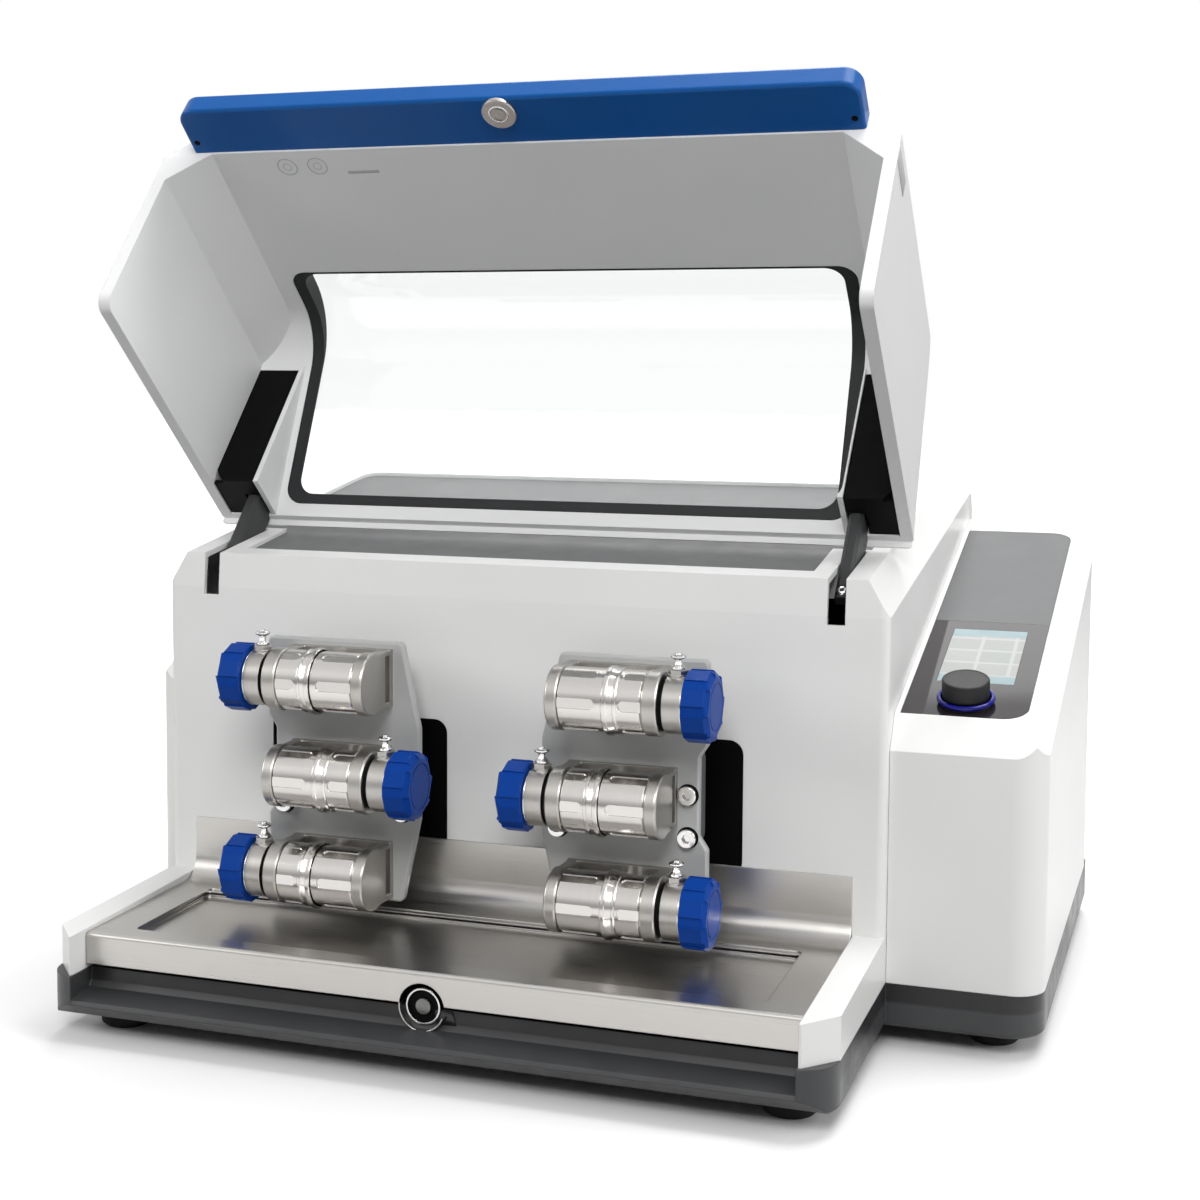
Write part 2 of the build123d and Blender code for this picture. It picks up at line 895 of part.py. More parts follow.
def hinge_rib():
    slope = lid_slope()
    drop = (lid_top_wall - 1) * math.sqrt(1 + slope ** 2)
    start = lid_front_y + (lid_rib_z - lid_kink_z + drop) / slope
    return side_prism(
        [(start, lid_rib_z), (-lid_wall_gap - 1, lid_rib_z), (-lid_wall_gap - 1, lid_top_z(-2) - drop)],
        lid_rib_x,
        lid_rib_x + lid_rib_wall,
    )


def make_hood_shell():
    hood = lid_outer() - lid_cavity()
    rib = hinge_rib()
    hood = hood + rib + mirrored(rib, middle_x)
    return hood - window_column(gasket_side, gasket_front, gasket_rear)


def make_window_pane():
    sheet_band = lid_band(pane_recess, pane_recess + pane_thickness, None)
    return sheet_band & window_column(gasket_side - fit_gap, gasket_front - fit_gap, gasket_rear - fit_gap)


def make_window_gasket():
    ring = window_column(gasket_side - fit_gap, gasket_front - fit_gap, gasket_rear - fit_gap)
    ring = ring - window_column(0, 0, 0)
    return ring & lid_band(pane_recess + pane_thickness + fit_gap, 0, lid_front_inner_y - 0.6)


def make_front_bar():
    left = arm_width + bar_end_gap
    right = housing_width - left
    bar = block(left, right, bar_front_y, bar_rear_y, bar_low_z, lid_bottom_z - 0.2)
    low_corners = [e for e in bar.edges().filter_by(Axis.Y) if e.center().Z < bar_low_z + 1]
    bar = fillet(low_corners, bar_corner_radius)
    round_edges = [
        e for e in bar.edges()
        if e.center().Z < lid_bottom_z - 1 and not (e.geom_type == GeomType.LINE and abs(e.tangent_at(0.5).Y) > 0.9)
    ]
    return fillet(round_edges, bar_edge_radius)


def make_armature_plate():
    y0 = bar_rear_y
    disc = rod_y(y0, y0 + armature_thickness, middle_x, magnet_z, armature_radius)
    disc = chamfer(disc.edges().group_by(Axis.Y)[-1], 0.6)
    recess = rod_y(y0 + armature_thickness - 1.4, y0 + armature_thickness + 1, middle_x, magnet_z, 6.0)
    screw = rod_y(y0 + armature_thickness - 1.4, y0 + armature_thickness - 0.3, middle_x, magnet_z, 4.2)
    socket = rod_y(y0 + armature_thickness - 1.2, y0 + armature_thickness + 1, middle_x, magnet_z, 2.0)
    return Compound([disc - recess, screw - socket])


def make_hinge_arm():
    x0 = slot_x + (slot_width - hinge_arm_width) / 2
    under_skin = lid_top_wall * math.sqrt(1 + lid_slope() ** 2)
    arm = side_prism(
        [
            (hinge_arm_front_y, hinge_arm_low_z),
            (hinge_arm_rear_y, hinge_arm_low_z),
            (hinge_arm_rear_y, hinge_arm_low_z + 9),
            (hinge_arm_rear_y - 18, hinge_arm_top_z),
            (0, hinge_arm_top_z),
            (-lid_wall_gap, lid_top_z(-lid_wall_gap) - under_skin),
            (hinge_arm_front_y, lid_top_z(hinge_arm_front_y) - under_skin),
        ],
        x0,
        x0 + hinge_arm_width,
    )
    low_edges = [e for e in arm.edges().filter_by(Axis.Y) if abs(e.center().Z - hinge_arm_low_z) < 0.1]
    arm = chamfer(low_edges, hinge_arm_bevel)
    arm = arm - rod_x(x0 - 1, x0 + hinge_arm_width + 1, hinge_y, hinge_z, hinge_pin_radius + running_gap)
    screw = rod_z(
        hinge_arm_low_z - 1.6, hinge_arm_low_z, x0 + hinge_arm_width / 2, stop_screw_y, stop_screw_radius
    )
    return arm + screw


def make_arm_cover():
    """Black trough lid that closes the channel between the side wall and the rib."""
    slope = lid_slope()
    drop = (lid_top_wall + 0.3) * math.sqrt(1 + slope ** 2)
    x0 = lid_wall - lid_overhang + fit_gap
    x1 = lid_rib_x - fit_gap
    start_y = lid_front_y + (cover_low_z - lid_kink_z + drop) / slope
    plate = side_prism(
        [
            (start_y + cover_tip_gap, cover_low_z),
            (cover_rear_y, cover_low_z),
            (cover_rear_y, lid_top_z(cover_rear_y) - drop),
            (cover_rear_y - cover_plate, lid_top_z(cover_rear_y - cover_plate) - drop),
            (cover_rear_y - cover_plate, cover_low_z + cover_plate),
            (start_y + cover_tip_gap + cover_plate / slope, cover_low_z + cover_plate),
        ],
        x0,
        x1,
    )
    gate = block(
        slot_x - 0.6, x1 + 1, cover_rear_y - 14, cover_rear_y + 1, hinge_arm_low_z - 1, lid_rear_top_z
    )
    corner = plan_prism(
        [(x0 - 1, cover_rear_y + 1), (x0 + 9, cover_rear_y + 1), (x0 - 1, cover_rear_y - 12)],
        cover_low_z - 1,
        cover_low_z + cover_plate,
    )
    return plate - gate - corner


# Rockers, holder plates and stations

def rocker_sides():
    """Side name, x of the pivot, and +1 where x grows towards the drive's middle."""
    return [
        ("left", drive_centre_x - rocker_offset, 1),
        ("right", drive_centre_x + rocker_offset, -1),
    ]


def make_rocker_arm(pivot_x, inward, tail_z):
    hub = rod_z(hub_bottom_z, hub_top_z, 0, 0, hub_radius)
    head_y = plate_front_y + plate_thickness - rocker_pivot_y
    neck = block(-neck_half_width, neck_half_width, head_y, 0, neck_bottom_z, neck_top_z)
    neck = chamfer(neck.edges().filter_by(Axis.Y), 5)
    head = block(-head_half_width, head_half_width, head_y, head_y + head_depth, head_bottom_z, head_top_z)
    head = fillet(head.edges().filter_by(Axis.Y), 12)
    tail_dx = rocker_offset * inward
    tail_dy = eccentric_y - rocker_pivot_y
    turn = math.degrees(math.atan2(tail_dy, tail_dx))
    sweep = (journal_radius + eccentric_throw + fork_clearance
             + math.hypot(tail_dx, tail_dy) * math.sin(math.radians(rocker_swing_deg)))
    bar = block(0, fork_start + 6, -tail_half_width, tail_half_width, 0, tail_thickness)
    fork = block(fork_start, fork_end, -sweep - fork_prong, sweep + fork_prong, 0, tail_thickness)
    fork = fork - block(fork_start + fork_prong, fork_end + 1, -sweep, sweep, -1, tail_thickness + 1)
    tail = Pos(0, 0, tail_z) * Rot(0, 0, turn) * (bar + fork)
    arm = hub + neck + head + tail
    arm = arm - rod_z(hub_bottom_z - 1, hub_top_z + 1, 0, 0, rocker_shaft_radius + running_gap)
    for x, z in plate_screw_spots():
        arm = arm - rod_y(head_y - 1, head_y + head_depth - 2, x, z, plate_screw_shank_radius)
    return Pos(pivot_x, rocker_pivot_y, 0) * arm


def plate_screw_spots():
    return [
        (side * plate_screw_x, z)
        for side in (-1, 1)
        for z in (plate_screw_upper_z, plate_screw_lower_z)
    ]


def make_holder_plate(pivot_x, inward):
    """Plate outline: straight outer edge with a waist, inner edge that bulges out."""
    z0 = plate_centre_z - plate_half_height
    z1 = plate_centre_z + plate_half_height
    waist0 = plate_centre_z - plate_waist_top
    waist1 = plate_centre_z + plate_waist_top
    right = [
        (plate_inner_x, z0),
        (plate_bulge_x, plate_centre_z - plate_bulge_half),
        (plate_bulge_x, plate_centre_z + plate_bulge_half),
        (plate_inner_x, z1),
    ]
    left = [
        (-plate_outer_x, z1),
        (-plate_outer_x, waist1 + plate_waist_step),
        (-plate_waist_x, waist1),
        (-plate_waist_x, waist0),
        (-plate_outer_x, waist0 - plate_waist_step),
        (-plate_outer_x, z0),
    ]
    points = [(x * inward, z) for x, z in right + left]
    face = make_face(Polyline(*[(x, 0, z) for x, z in points], close=True))
    plate = extrude(face, amount=plate_thickness, dir=(0, 1, 0))
    plate = Pos(pivot_x, plate_front_y, 0) * plate
    plate = fillet(plate.edges().filter_by(Axis.Y), plate_corner_radius)
    plate = chamfer(plate.edges().group_by(Axis.Y)[0], plate_edge_bevel)
    for x, z in plate_screw_spots():
        plate = plate - rod_y(
            plate_front_y - 1, plate_front_y + plate_thickness + 1, pivot_x + x, z,
            plate_screw_shank_radius + 0.3,
        )
    return plate


def make_plate_screws(pivot_x):
    screws = []
    for x, z in plate_screw_spots():
        head = rod_y(plate_front_y - plate_screw_head, plate_front_y, 0, 0, plate_screw_head_radius)
        head = fillet(head.edges().group_by(Axis.Y)[0], 0.8)
        socket = Pos(0, plate_front_y - plate_screw_head - 0.1, 0) * Rot(-90, 0, 0) * extrude(
            RegularPolygon(plate_screw_socket, 6), 3.1
        )
        shank = rod_y(plate_front_y, plate_front_y + plate_screw_length, 0, 0, plate_screw_shank_radius - 0.1)
        screws.append(Pos(pivot_x + x, 0, z) * (head - socket + shank))
    return Compound(screws)


def place_station(shape, pivot_x, row_z, direction):
    if direction < 0:
        shape = mirror(shape, Plane.YZ)
    return Pos(pivot_x, station_axis_y, row_z) * shape


def make_jar_bracket():
    back_y = plate_front_y - station_axis_y
    back = block(
        flange_start_w, holder_end_w, back_y - holder_back, back_y, -holder_half_height, holder_half_height
    )

    def cheek(w0, w1):
        disc = rod_x(w0, w1, 0, 0, flange_radius)
        web = block(w0, w1, 0, back_y, -holder_half_height, holder_half_height)
        return (disc + web) & block(w0, w1, -flange_radius, back_y, -flange_radius, flange_radius)

    ring = cheek(flange_start_w, jar_start_w)
    outer_rim = [
        e for e in ring.edges().group_by(Axis.X)[0] + ring.edges().group_by(Axis.X)[-1] if e.center().Y < back_y - 1
    ]
    ring = chamfer(outer_rim, sleeve_edge)
    end_wall = cheek(jar_end_w, holder_end_w)
    rim = [e for e in end_wall.edges().group_by(Axis.X)[-1] if e.center().Y < back_y - 1]
    end_wall = fillet(rim, holder_edge)
    inner_rim = [e for e in end_wall.edges().group_by(Axis.X)[0] if e.center().Y < back_y - 1]
    end_wall = chamfer(inner_rim, sleeve_edge)
    inside = holder_half_height - holder_web
    end_wall = end_wall - block(
        holder_end_w - holder_window_depth, holder_end_w + 1,
        back_y - holder_window_run, back_y + 1, -inside, inside,
    )
    lip = rod_y(
        back_y - holder_window_run, back_y, holder_end_w - holder_lip_radius,
        -holder_half_height + holder_lip_radius, holder_lip_radius,
    )
    bracket = back + ring + end_wall + lip
    sleeve = rod_x(sleeve_start_w, flange_start_w + 1, 0, 0, sleeve_radius)
    sleeve = chamfer(sleeve.edges().group_by(Axis.X)[0], sleeve_edge)
    sleeve = sleeve - (
        rod_x(groove_start_w, flange_start_w, 0, 0, sleeve_radius + 1)
        - rod_x(groove_start_w, flange_start_w, 0, 0, groove_radius)
    )
    boss = rod_z(sleeve_radius - 5, plunger_boss_top, plunger_w, 0, plunger_boss_radius)
    nut = Pos(plunger_w, 0, plunger_boss_top - 1) * extrude(
        RegularPolygon(plunger_nut_radius, 6), plunger_nut_top - plunger_boss_top + 1
    )
    bracket = bracket + sleeve + boss + nut
    bracket = bracket - rod_x(sleeve_start_w - 1, jar_start_w + 1, 0, 0, spindle_radius + running_gap)
    pocket_start = jar_start_w - seat_gap - pad_thickness - clamp_travel - pad_pocket_gap
    bracket = bracket - rod_x(pocket_start, jar_start_w + 1, 0, 0, pad_radius + pad_pocket_gap)
    return bracket - rod_z(0, plunger_nut_top + 1, plunger_w, 0, plunger_radius + running_gap)


def jar_slots(w_open, w_round, radius):
    """Milled flats round a jar: open at w_open, ending in a half round at w_round."""
    step = 1 if w_round > w_open else -1
    straight = w_round - step * jar_slot_width / 2
    low = min(w_open - step, straight)
    high = max(w_open - step, straight)
    floor_z = radius - jar_slot_depth
    cutter = block(low, high, -jar_slot_width / 2, jar_slot_width / 2, floor_z, radius + 2)
    cutter = cutter + rod_z(floor_z, radius + 2, straight, 0, jar_slot_width / 2)
    turn = 360.0 / jar_slot_count
    return [Rot(turn * (index + 0.5), 0, 0) * cutter for index in range(jar_slot_count)]


def make_jar_body():
    body = rod_x(jar_split_w + fit_gap, jar_end_w, 0, 0, jar_radius)
    body = chamfer(body.edges().group_by(Axis.X)[-1], jar_edge)
    for cutter in jar_slots(jar_end_w, jar_split_w + 5, jar_radius):
        body = body - cutter
    bore = rod_x(jar_split_w - 1, jar_end_w - jar_end_wall, 0, 0, jar_bore_radius)
    return body - fillet(bore.edges().group_by(Axis.X)[-1], jar_bore_fillet)


def make_jar_cap():
    low = jar_start_w
    cap = rod_x(low, jar_split_w, 0, 0, jar_radius)
    cap = chamfer(cap.edges().group_by(Axis.X)[0], jar_edge)
    for cutter in jar_slots(low, jar_collar_start_w - 1.5, jar_radius):
        cap = cap - cutter
    ridge_w = jar_split_w - 3.0
    profile = [
        (jar_collar_start_w, jar_radius - 1),
        (jar_collar_start_w, jar_radius + 0.4),
        (jar_collar_start_w + 0.6, jar_band_radius),
        (jar_collar_start_w + 2.0, jar_band_radius),
        (jar_collar_start_w + 2.5, jar_neck_radius),
        (ridge_w - 0.5, jar_band_radius + 0.4),
        (ridge_w, jar_collar_radius),
        (jar_split_w - 0.6, jar_collar_radius),
        (jar_split_w, jar_collar_radius - 0.6),
        (jar_split_w, jar_radius - 1),
    ]
    collar = revolve(outline(profile), Axis.X, 360)
    bore = rod_x(low + jar_end_wall, jar_split_w + 1, 0, 0, jar_bore_radius)
    return cap + collar - fillet(bore.edges().group_by(Axis.X)[0], jar_bore_fillet)


def make_handwheel():
    """Eight flat lobes with a narrow sunk strip between each two, and a wide bevel round the face."""
    rear_w = sleeve_start_w - seat_gap
    profile = [
        (wheel_end_w, 0),
        (wheel_end_w, wheel_radius - wheel_front_bevel),
        (wheel_end_w + wheel_front_slope, wheel_radius),
        (rear_w - wheel_rear_radius, wheel_radius),
        (rear_w, wheel_radius - wheel_rear_radius),
        (rear_w, 0),
    ]
    blank = revolve(outline(profile), Axis.X, 360)
    corner_radius = wheel_flat / math.cos(math.pi / wheel_lobes)
    flats = Plane.YZ.offset(wheel_end_w - 1) * RegularPolygon(corner_radius, wheel_lobes)
    blank = blank & extrude(flats, rear_w - wheel_end_w + 2)
    notch = block(
        wheel_end_w - 1, rear_w + 1, -wheel_notch_width / 2, wheel_notch_width / 2,
        wheel_notch_floor, wheel_radius + 2,
    )
    for index in range(wheel_lobes):
        blank = blank - Rot(90 + 360.0 * index / wheel_lobes, 0, 0) * notch
    disc = rod_x(wheel_end_w - 1, wheel_end_w + wheel_disc_step, 0, 0, wheel_disc_radius)
    wheel = blank - disc + rod_x(wheel_end_w, wheel_end_w + 2, 0, 0, wheel_disc_radius - 1.2)
    wheel = wheel - rod_x(sleeve_start_w - 12, sleeve_start_w, 0, 0, spindle_radius)
    pad_back = jar_start_w - seat_gap - pad_thickness
    spindle = rod_x(sleeve_start_w - 12, pad_back - seat_gap, 0, 0, spindle_radius)
    spindle = spindle + rod_x(pad_back - 1, pad_back + pad_socket - seat_gap, 0, 0, pad_stub_radius)
    neck = rod_x(plunger_w - 7, plunger_w + 7, 0, 0, spindle_radius + 1) - rod_x(
        plunger_w - 7, plunger_w + 7, 0, 0, spindle_radius - 1.5
    )
    return Compound([wheel, spindle - neck])


def make_clamp_pad():
    high = jar_start_w - seat_gap
    pad = rod_x(high - pad_thickness, high, 0, 0, pad_radius)
    pad = chamfer(pad.edges().group_by(Axis.X)[-1], 0.8)
    low = high - pad_thickness
    return pad - rod_x(low - 1, low + pad_socket, 0, 0, pad_stub_radius + running_gap)


def make_plunger():
    """Index pin with a mushroom head, a slender waist and a conical skirt over the nut."""
    skirt_z = plunger_nut_top + seat_gap
    profile = [
        (0, spindle_radius - 1.0),
        (plunger_radius, spindle_radius - 1.0),
        (plunger_radius, skirt_z),
        (plunger_skirt_radius, skirt_z),
        (plunger_skirt_radius, skirt_z + 1.2),
        (plunger_waist_radius + 0.6, plunger_waist_low - 0.6),
        (plunger_waist_radius, plunger_waist_low + 0.6),
        (plunger_waist_radius, plunger_waist_top - 0.8),
        (plunger_head_radius - 0.5, plunger_waist_top + 0.6),
        (plunger_head_radius, plunger_waist_top + 1.2),
        (plunger_head_radius, plunger_waist_top + 2.0),
        (plunger_head_radius - 1.4, plunger_waist_top + 2.9),
        (plunger_button_radius, plunger_waist_top + 3.1),
        (plunger_button_radius, plunger_top),
        (0, plunger_top),
    ]
    face = Plane.XZ * outline(profile)
    return Pos(plunger_w, 0, 0) * revolve(face, Axis.Z, 360)


# Drive

def make_drive_frame():
    plate = block(frame_left_x, frame_right_x, frame_front_y, frame_rear_y, pan_floor, pan_floor + frame_plate)
    bridge = block(
        frame_left_x, frame_right_x, frame_front_y + 10, bridge_rear_y,
        bridge_bottom_z, bridge_bottom_z + bridge_thickness,
    )
    frame = plate + bridge
    for x in (frame_left_x, frame_right_x - frame_leg):
        frame = frame + block(
            x, x + frame_leg, frame_front_y + 10, bridge_rear_y, pan_floor, bridge_bottom_z + 1
        )
    frame = frame + rod_z(pan_floor, bearing_boss_top_z, drive_centre_x, eccentric_y, 20)
    frame = frame - rod_z(
        pan_floor + 5, bearing_boss_top_z + 1, drive_centre_x, eccentric_y, eccentric_shaft_radius + running_gap
    )
    for _, pivot_x, _ in rocker_sides():
        frame = frame + rod_z(pan_floor, hub_bottom_z - 1, pivot_x, rocker_pivot_y, 20)
        frame = frame - rod_z(
            pan_floor + 5, bridge_bottom_z + bridge_thickness + 1, pivot_x, rocker_pivot_y,
            rocker_shaft_radius,
        )
    return frame


def make_rocker_shafts():
    shafts = []
    for _, pivot_x, _ in rocker_sides():
        shaft = rod_z(pan_floor + 5, bridge_bottom_z + bridge_thickness + 6, pivot_x, rocker_pivot_y,
                      rocker_shaft_radius)
        shafts.append(chamfer(shaft.edges().group_by(Axis.Z)[-1], 1.5))
    return Compound(shafts)


def make_motor():
    body = rod_z(motor_bottom_z, bridge_bottom_z, drive_centre_x, eccentric_y, motor_radius)
    body = fillet(body.edges().group_by(Axis.Z)[0], 6)
    count = 24
    for index in range(count):
        angle = 2 * math.pi * index / count
        fin = rod_z(
            motor_bottom_z + 14, bridge_bottom_z - 14,
            drive_centre_x + motor_radius * math.cos(angle),
            eccentric_y + motor_radius * math.sin(angle), 3,
        )
        body = body - fin
    bore = rod_z(motor_bottom_z - 1, motor_bottom_z + 30, drive_centre_x, eccentric_y,
                 eccentric_shaft_radius + running_gap)
    return body - bore


def make_eccentric():
    shaft = rod_z(pan_floor + 5.5, motor_bottom_z + 28, 0, 0, eccentric_shaft_radius)
    journal = rod_z(journal_bottom_z, journal_top_z, eccentric_throw, 0, journal_radius)
    top = counterweight_bottom_z + counterweight_thickness
    weight = rod_z(counterweight_bottom_z, top, 0, 0, counterweight_radius)
    weight = weight - block(2, 50, -50, 50, counterweight_bottom_z - 1, top + 1)
    collar = rod_z(counterweight_bottom_z, top, 0, 0, eccentric_shaft_radius + 5)
    return Pos(drive_centre_x, eccentric_y, 0) * (shaft + journal + weight + collar)


# Console

def console_solid(inset, x_left, x_right, front_y, back_y, bottom_z):
    """Wedge-shaped housing with facets along its front and right top edges and a rounded corner."""
    x0 = x_left + inset
    x1 = x_right - inset
    y0 = front_y + inset
    y1 = back_y - inset
    radius = console_corner_radius - inset
    column = block(x0, x1, y0, y1, bottom_z, console_z(y1) + 40)
    corners = [e for e in vertical_edges(column) if e.center().X > x1 - 1]
    column = fillet(corners, radius)
    lean = math.sqrt(1 + console_slope ** 2)
    over = side_prism(
        [
            (y0 - 20, console_z(y0 - 20) - inset * lean),
            (y1 + 20, console_z(y1 + 20) - inset * lean),
            (y1 + 20, console_z(y1) + 90),
            (y0 - 20, console_z(y1) + 90),
        ],
        x0 - 1,
        x1 + 1,
    )
    facet_top = y0 + console_facet_run
    front_facet = side_prism(
        [
            (y0 - 2, console_z(facet_top) - inset - console_facet_drop * (1 + 2 / console_facet_run)),
            (facet_top + 4, console_z(facet_top) - inset + console_facet_drop * 4 / console_facet_run),
            (y0 - 2, console_z(facet_top) + 60),
        ],
        x0 - 1,
        x1 + 1,
    )
    edge = [
        (x1 + 2, -console_facet_drop * (1 + 2 / console_facet_run) - inset),
        (x1 - console_facet_run - 4, console_facet_drop * 4 / console_facet_run - inset),
        (x1 + 2, 60),
    ]
    face = make_face(Polyline(*[(x, y0 - 20, z + console_z(y0 - 20)) for x, z in edge], close=True))
    side_facet = extrude(face, amount=(y1 - y0 + 40) * lean, dir=(0, 1, console_slope))
    return column - over - front_facet - side_facet


def console_layer(top_drop, bottom_drop, y0, y1):
    x0 = housing_width
    x1 = housing_width + console_width
    return side_prism(
        [
            (y0, console_z(y0) - bottom_drop),
            (y1, console_z(y1) - bottom_drop),
            (y1, console_z(y1) - top_drop),
            (y0, console_z(y0) - top_drop),
        ],
        x0,
        x1,
    )


def console_inlay_column(inset):
    x0 = housing_width + console_inlay_left + inset
    x1 = housing_width + console_width - console_inlay_right - inset
    column = block(
        x0, x1, console_inlay_front_y + inset, console_inlay_rear_y - inset, console_top_z - 40, console_top_z + 160
    )
    corners = [e for e in vertical_edges(column) if e.center().X > x1 - 1]
    return fillet(corners, console_inlay_radius)


def make_console_housing():
    right = housing_width + console_width
    body = console_solid(0, housing_width + 0.2, right, console_front_y, console_rear_y, pan_height)
    hollow = console_solid(
        shell_wall, housing_width + 0.2, right, console_front_y, console_rear_y, pan_height - 1
    )
    body = body - hollow
    shelf = console_inlay_column(-2) & console_layer(shell_wall - 1, console_pocket + 3, 0, console_rear_y - 10)
    body = body + shelf
    body = body - (console_inlay_column(0) & console_layer(-9, console_pocket, 0, console_rear_y))
    return body - dial_rod(-12, 2, knob_stem_radius + 1)


def dial_frame():
    """Plane on the console's top with its z axis along the dial."""
    x = housing_width + dial_x
    normal = Vector(0, -console_slope, 1).normalized()
    return Plane(origin=(x, dial_y, console_z(dial_y)), x_dir=(1, 0, 0), z_dir=normal)


def dial_rod(z0, z1, radius):
    return dial_frame() * (Pos(0, 0, (z0 + z1) / 2) * Cylinder(radius, z1 - z0))


def screen_column(inset):
    x0 = housing_width + screen_x + inset
    return block(
        x0, x0 + screen_width - 2 * inset, screen_front_y + inset, screen_rear_y - inset,
        console_top_z - 20, console_top_z + 120,
    )


def glass_top_drop():
    return console_pocket - glass_thickness


def make_display_glass():
    glass = console_inlay_column(fit_gap) & console_layer(
        glass_top_drop(), console_pocket, 0, console_inlay_split_y - glass_joint / 2
    )
    return glass - screen_column(0) - dial_rod(-12, 4, knob_stem_radius + running_gap)


def make_console_rear_inlay():
    return console_inlay_column(fit_gap) & console_layer(
        glass_top_drop(), console_pocket, console_inlay_split_y + glass_joint / 2, console_rear_y
    )


def make_touch_display():
    return screen_column(fit_gap) & console_layer(glass_top_drop(), console_pocket, 0, console_rear_y)


def make_dial_ring():
    base = -glass_top_drop() / math.sqrt(1 + console_slope ** 2)
    ring = dial_rod(base, base + dial_ring_height, dial_ring_radius)
    ring = fillet(ring.edges(), 1.5)
    return ring - dial_rod(base - 1, base + dial_ring_height + 1, dial_ring_bore)


def make_control_knob():
    base = -glass_top_drop() / math.sqrt(1 + console_slope ** 2)
    low = base + seat_gap
    skirt = dial_rod(low, low + dial_ring_height, knob_skirt)
    grip = dial_rod(base + dial_ring_height, base + knob_height, knob_radius)
    top_edges = [e for e in grip.edges() if (e.center() - dial_frame().origin).Z > 8]
    grip = fillet(top_edges, 1.4)
    stem = dial_rod(low - knob_stem_length, low + 1, knob_stem_radius)
    return skirt + grip + stem


def make_side_cover():
    cover = console_solid(
        0, housing_width, housing_width + side_cover_projection + 26, side_cover_front_y, side_cover_rear_y,
        pan_height,
    )
    hollow = console_solid(
        shell_wall, housing_width - 20, housing_width + side_cover_projection + 26, side_cover_front_y,
        side_cover_rear_y, pan_height - 1,
    )
    cover = cover - hollow
    cover = mirror(cover, Plane.YZ.offset(middle_x))
    return Pos(26, 0, 0) * cover - block(0 - 0.2, 60, -10, rear_y + 20, 0, 400)


# Rear panel, inlet and mains switch

def switch_pivot_y():
    return rear_y - rear_panel_thickness - switch_pin_radius - 1


def make_rear_panel():
    y1 = rear_y
    y0 = y1 - rear_panel_thickness
    gap = fit_gap
    panel = block(
        rear_panel_x + gap, rear_panel_x + rear_panel_width - gap, y0, y1,
        rear_panel_low_z + gap, rear_panel_high_z - gap,
    )
    for row in range(vent_rows):
        z = vent_low_z + row * vent_pitch
        panel = panel - block(vent_x, vent_x + vent_length, y0 - 1, y1 + 1, z, z + vent_height)
    panel = panel - block(
        inlet_x - inlet_width / 2, inlet_x + inlet_width / 2, y0 - 1, y1 + 1,
        inlet_z - inlet_height / 2, inlet_z + inlet_height / 2,
    )
    half_w = switch_width / 2 + switch_gap
    half_h = switch_height / 2 + 1
    panel = panel - block(
        switch_x - half_w, switch_x + half_w, y0 - 1, y1 + 1, inlet_z - half_h, inlet_z + half_h
    )
    for x0, x1 in ((switch_x - half_w - 3, switch_x - half_w), (switch_x + half_w, switch_x + half_w + 3)):
        panel = panel + block(x0, x1, switch_pivot_y() - 6, y0 + 0.5, inlet_z - 7, inlet_z + 7)
    return panel - rod_x(
        switch_x - half_w - 4, switch_x + half_w + 4, switch_pivot_y(), inlet_z,
        switch_pin_radius + running_gap,
    )


def make_power_inlet():
    half_w = inlet_width / 2 - fit_gap
    half_h = inlet_height / 2 - fit_gap
    y1 = rear_y
    body = block(
        inlet_x - half_w, inlet_x + half_w, y1 - inlet_depth, y1, inlet_z - half_h, inlet_z + half_h
    )
    cavity = block(
        inlet_x - half_w + 3, inlet_x + half_w - 3, y1 - inlet_depth + 3, y1 + 1,
        inlet_z - half_h + 3, inlet_z + half_h - 3,
    )
    inlet = body - cavity
    for dx, dz in ((-7, -2), (0, 2), (7, -2)):
        inlet = inlet + block(
            inlet_x + dx - 1, inlet_x + dx + 1, y1 - inlet_depth + 2, y1 - 8, inlet_z + dz - 2, inlet_z + dz + 2
        )
    return inlet


def make_mains_switch():
    """Rocker switch with two trunnions that turn in cheeks behind the rear panel."""
    half_h = switch_height / 2 - 1
    y = switch_pivot_y()
    rocker = side_prism(
        [
            (y + 5.4, inlet_z - half_h),
            (y + 3.6, inlet_z),
            (y + 5.4, inlet_z + half_h),
            (y - 1, inlet_z + half_h - 2),
            (y - 4, inlet_z),
            (y - 1, inlet_z - half_h + 2),
        ],
        switch_x - switch_width / 2 + 0.6,
        switch_x + switch_width / 2 - 0.6,
    )
    reach = switch_width / 2 + switch_gap + 2
    return rocker + rod_x(switch_x - reach, switch_x + reach, y, inlet_z, switch_pin_radius)


def make_hinge_pins():
    x0 = slot_x - hinge_boss_width
    x1 = slot_x + slot_width + hinge_boss_width
    pin = rod_x(x0, x1, hinge_y, hinge_z, hinge_pin_radius)
    return Compound([pin, mirrored(pin, middle_x)])


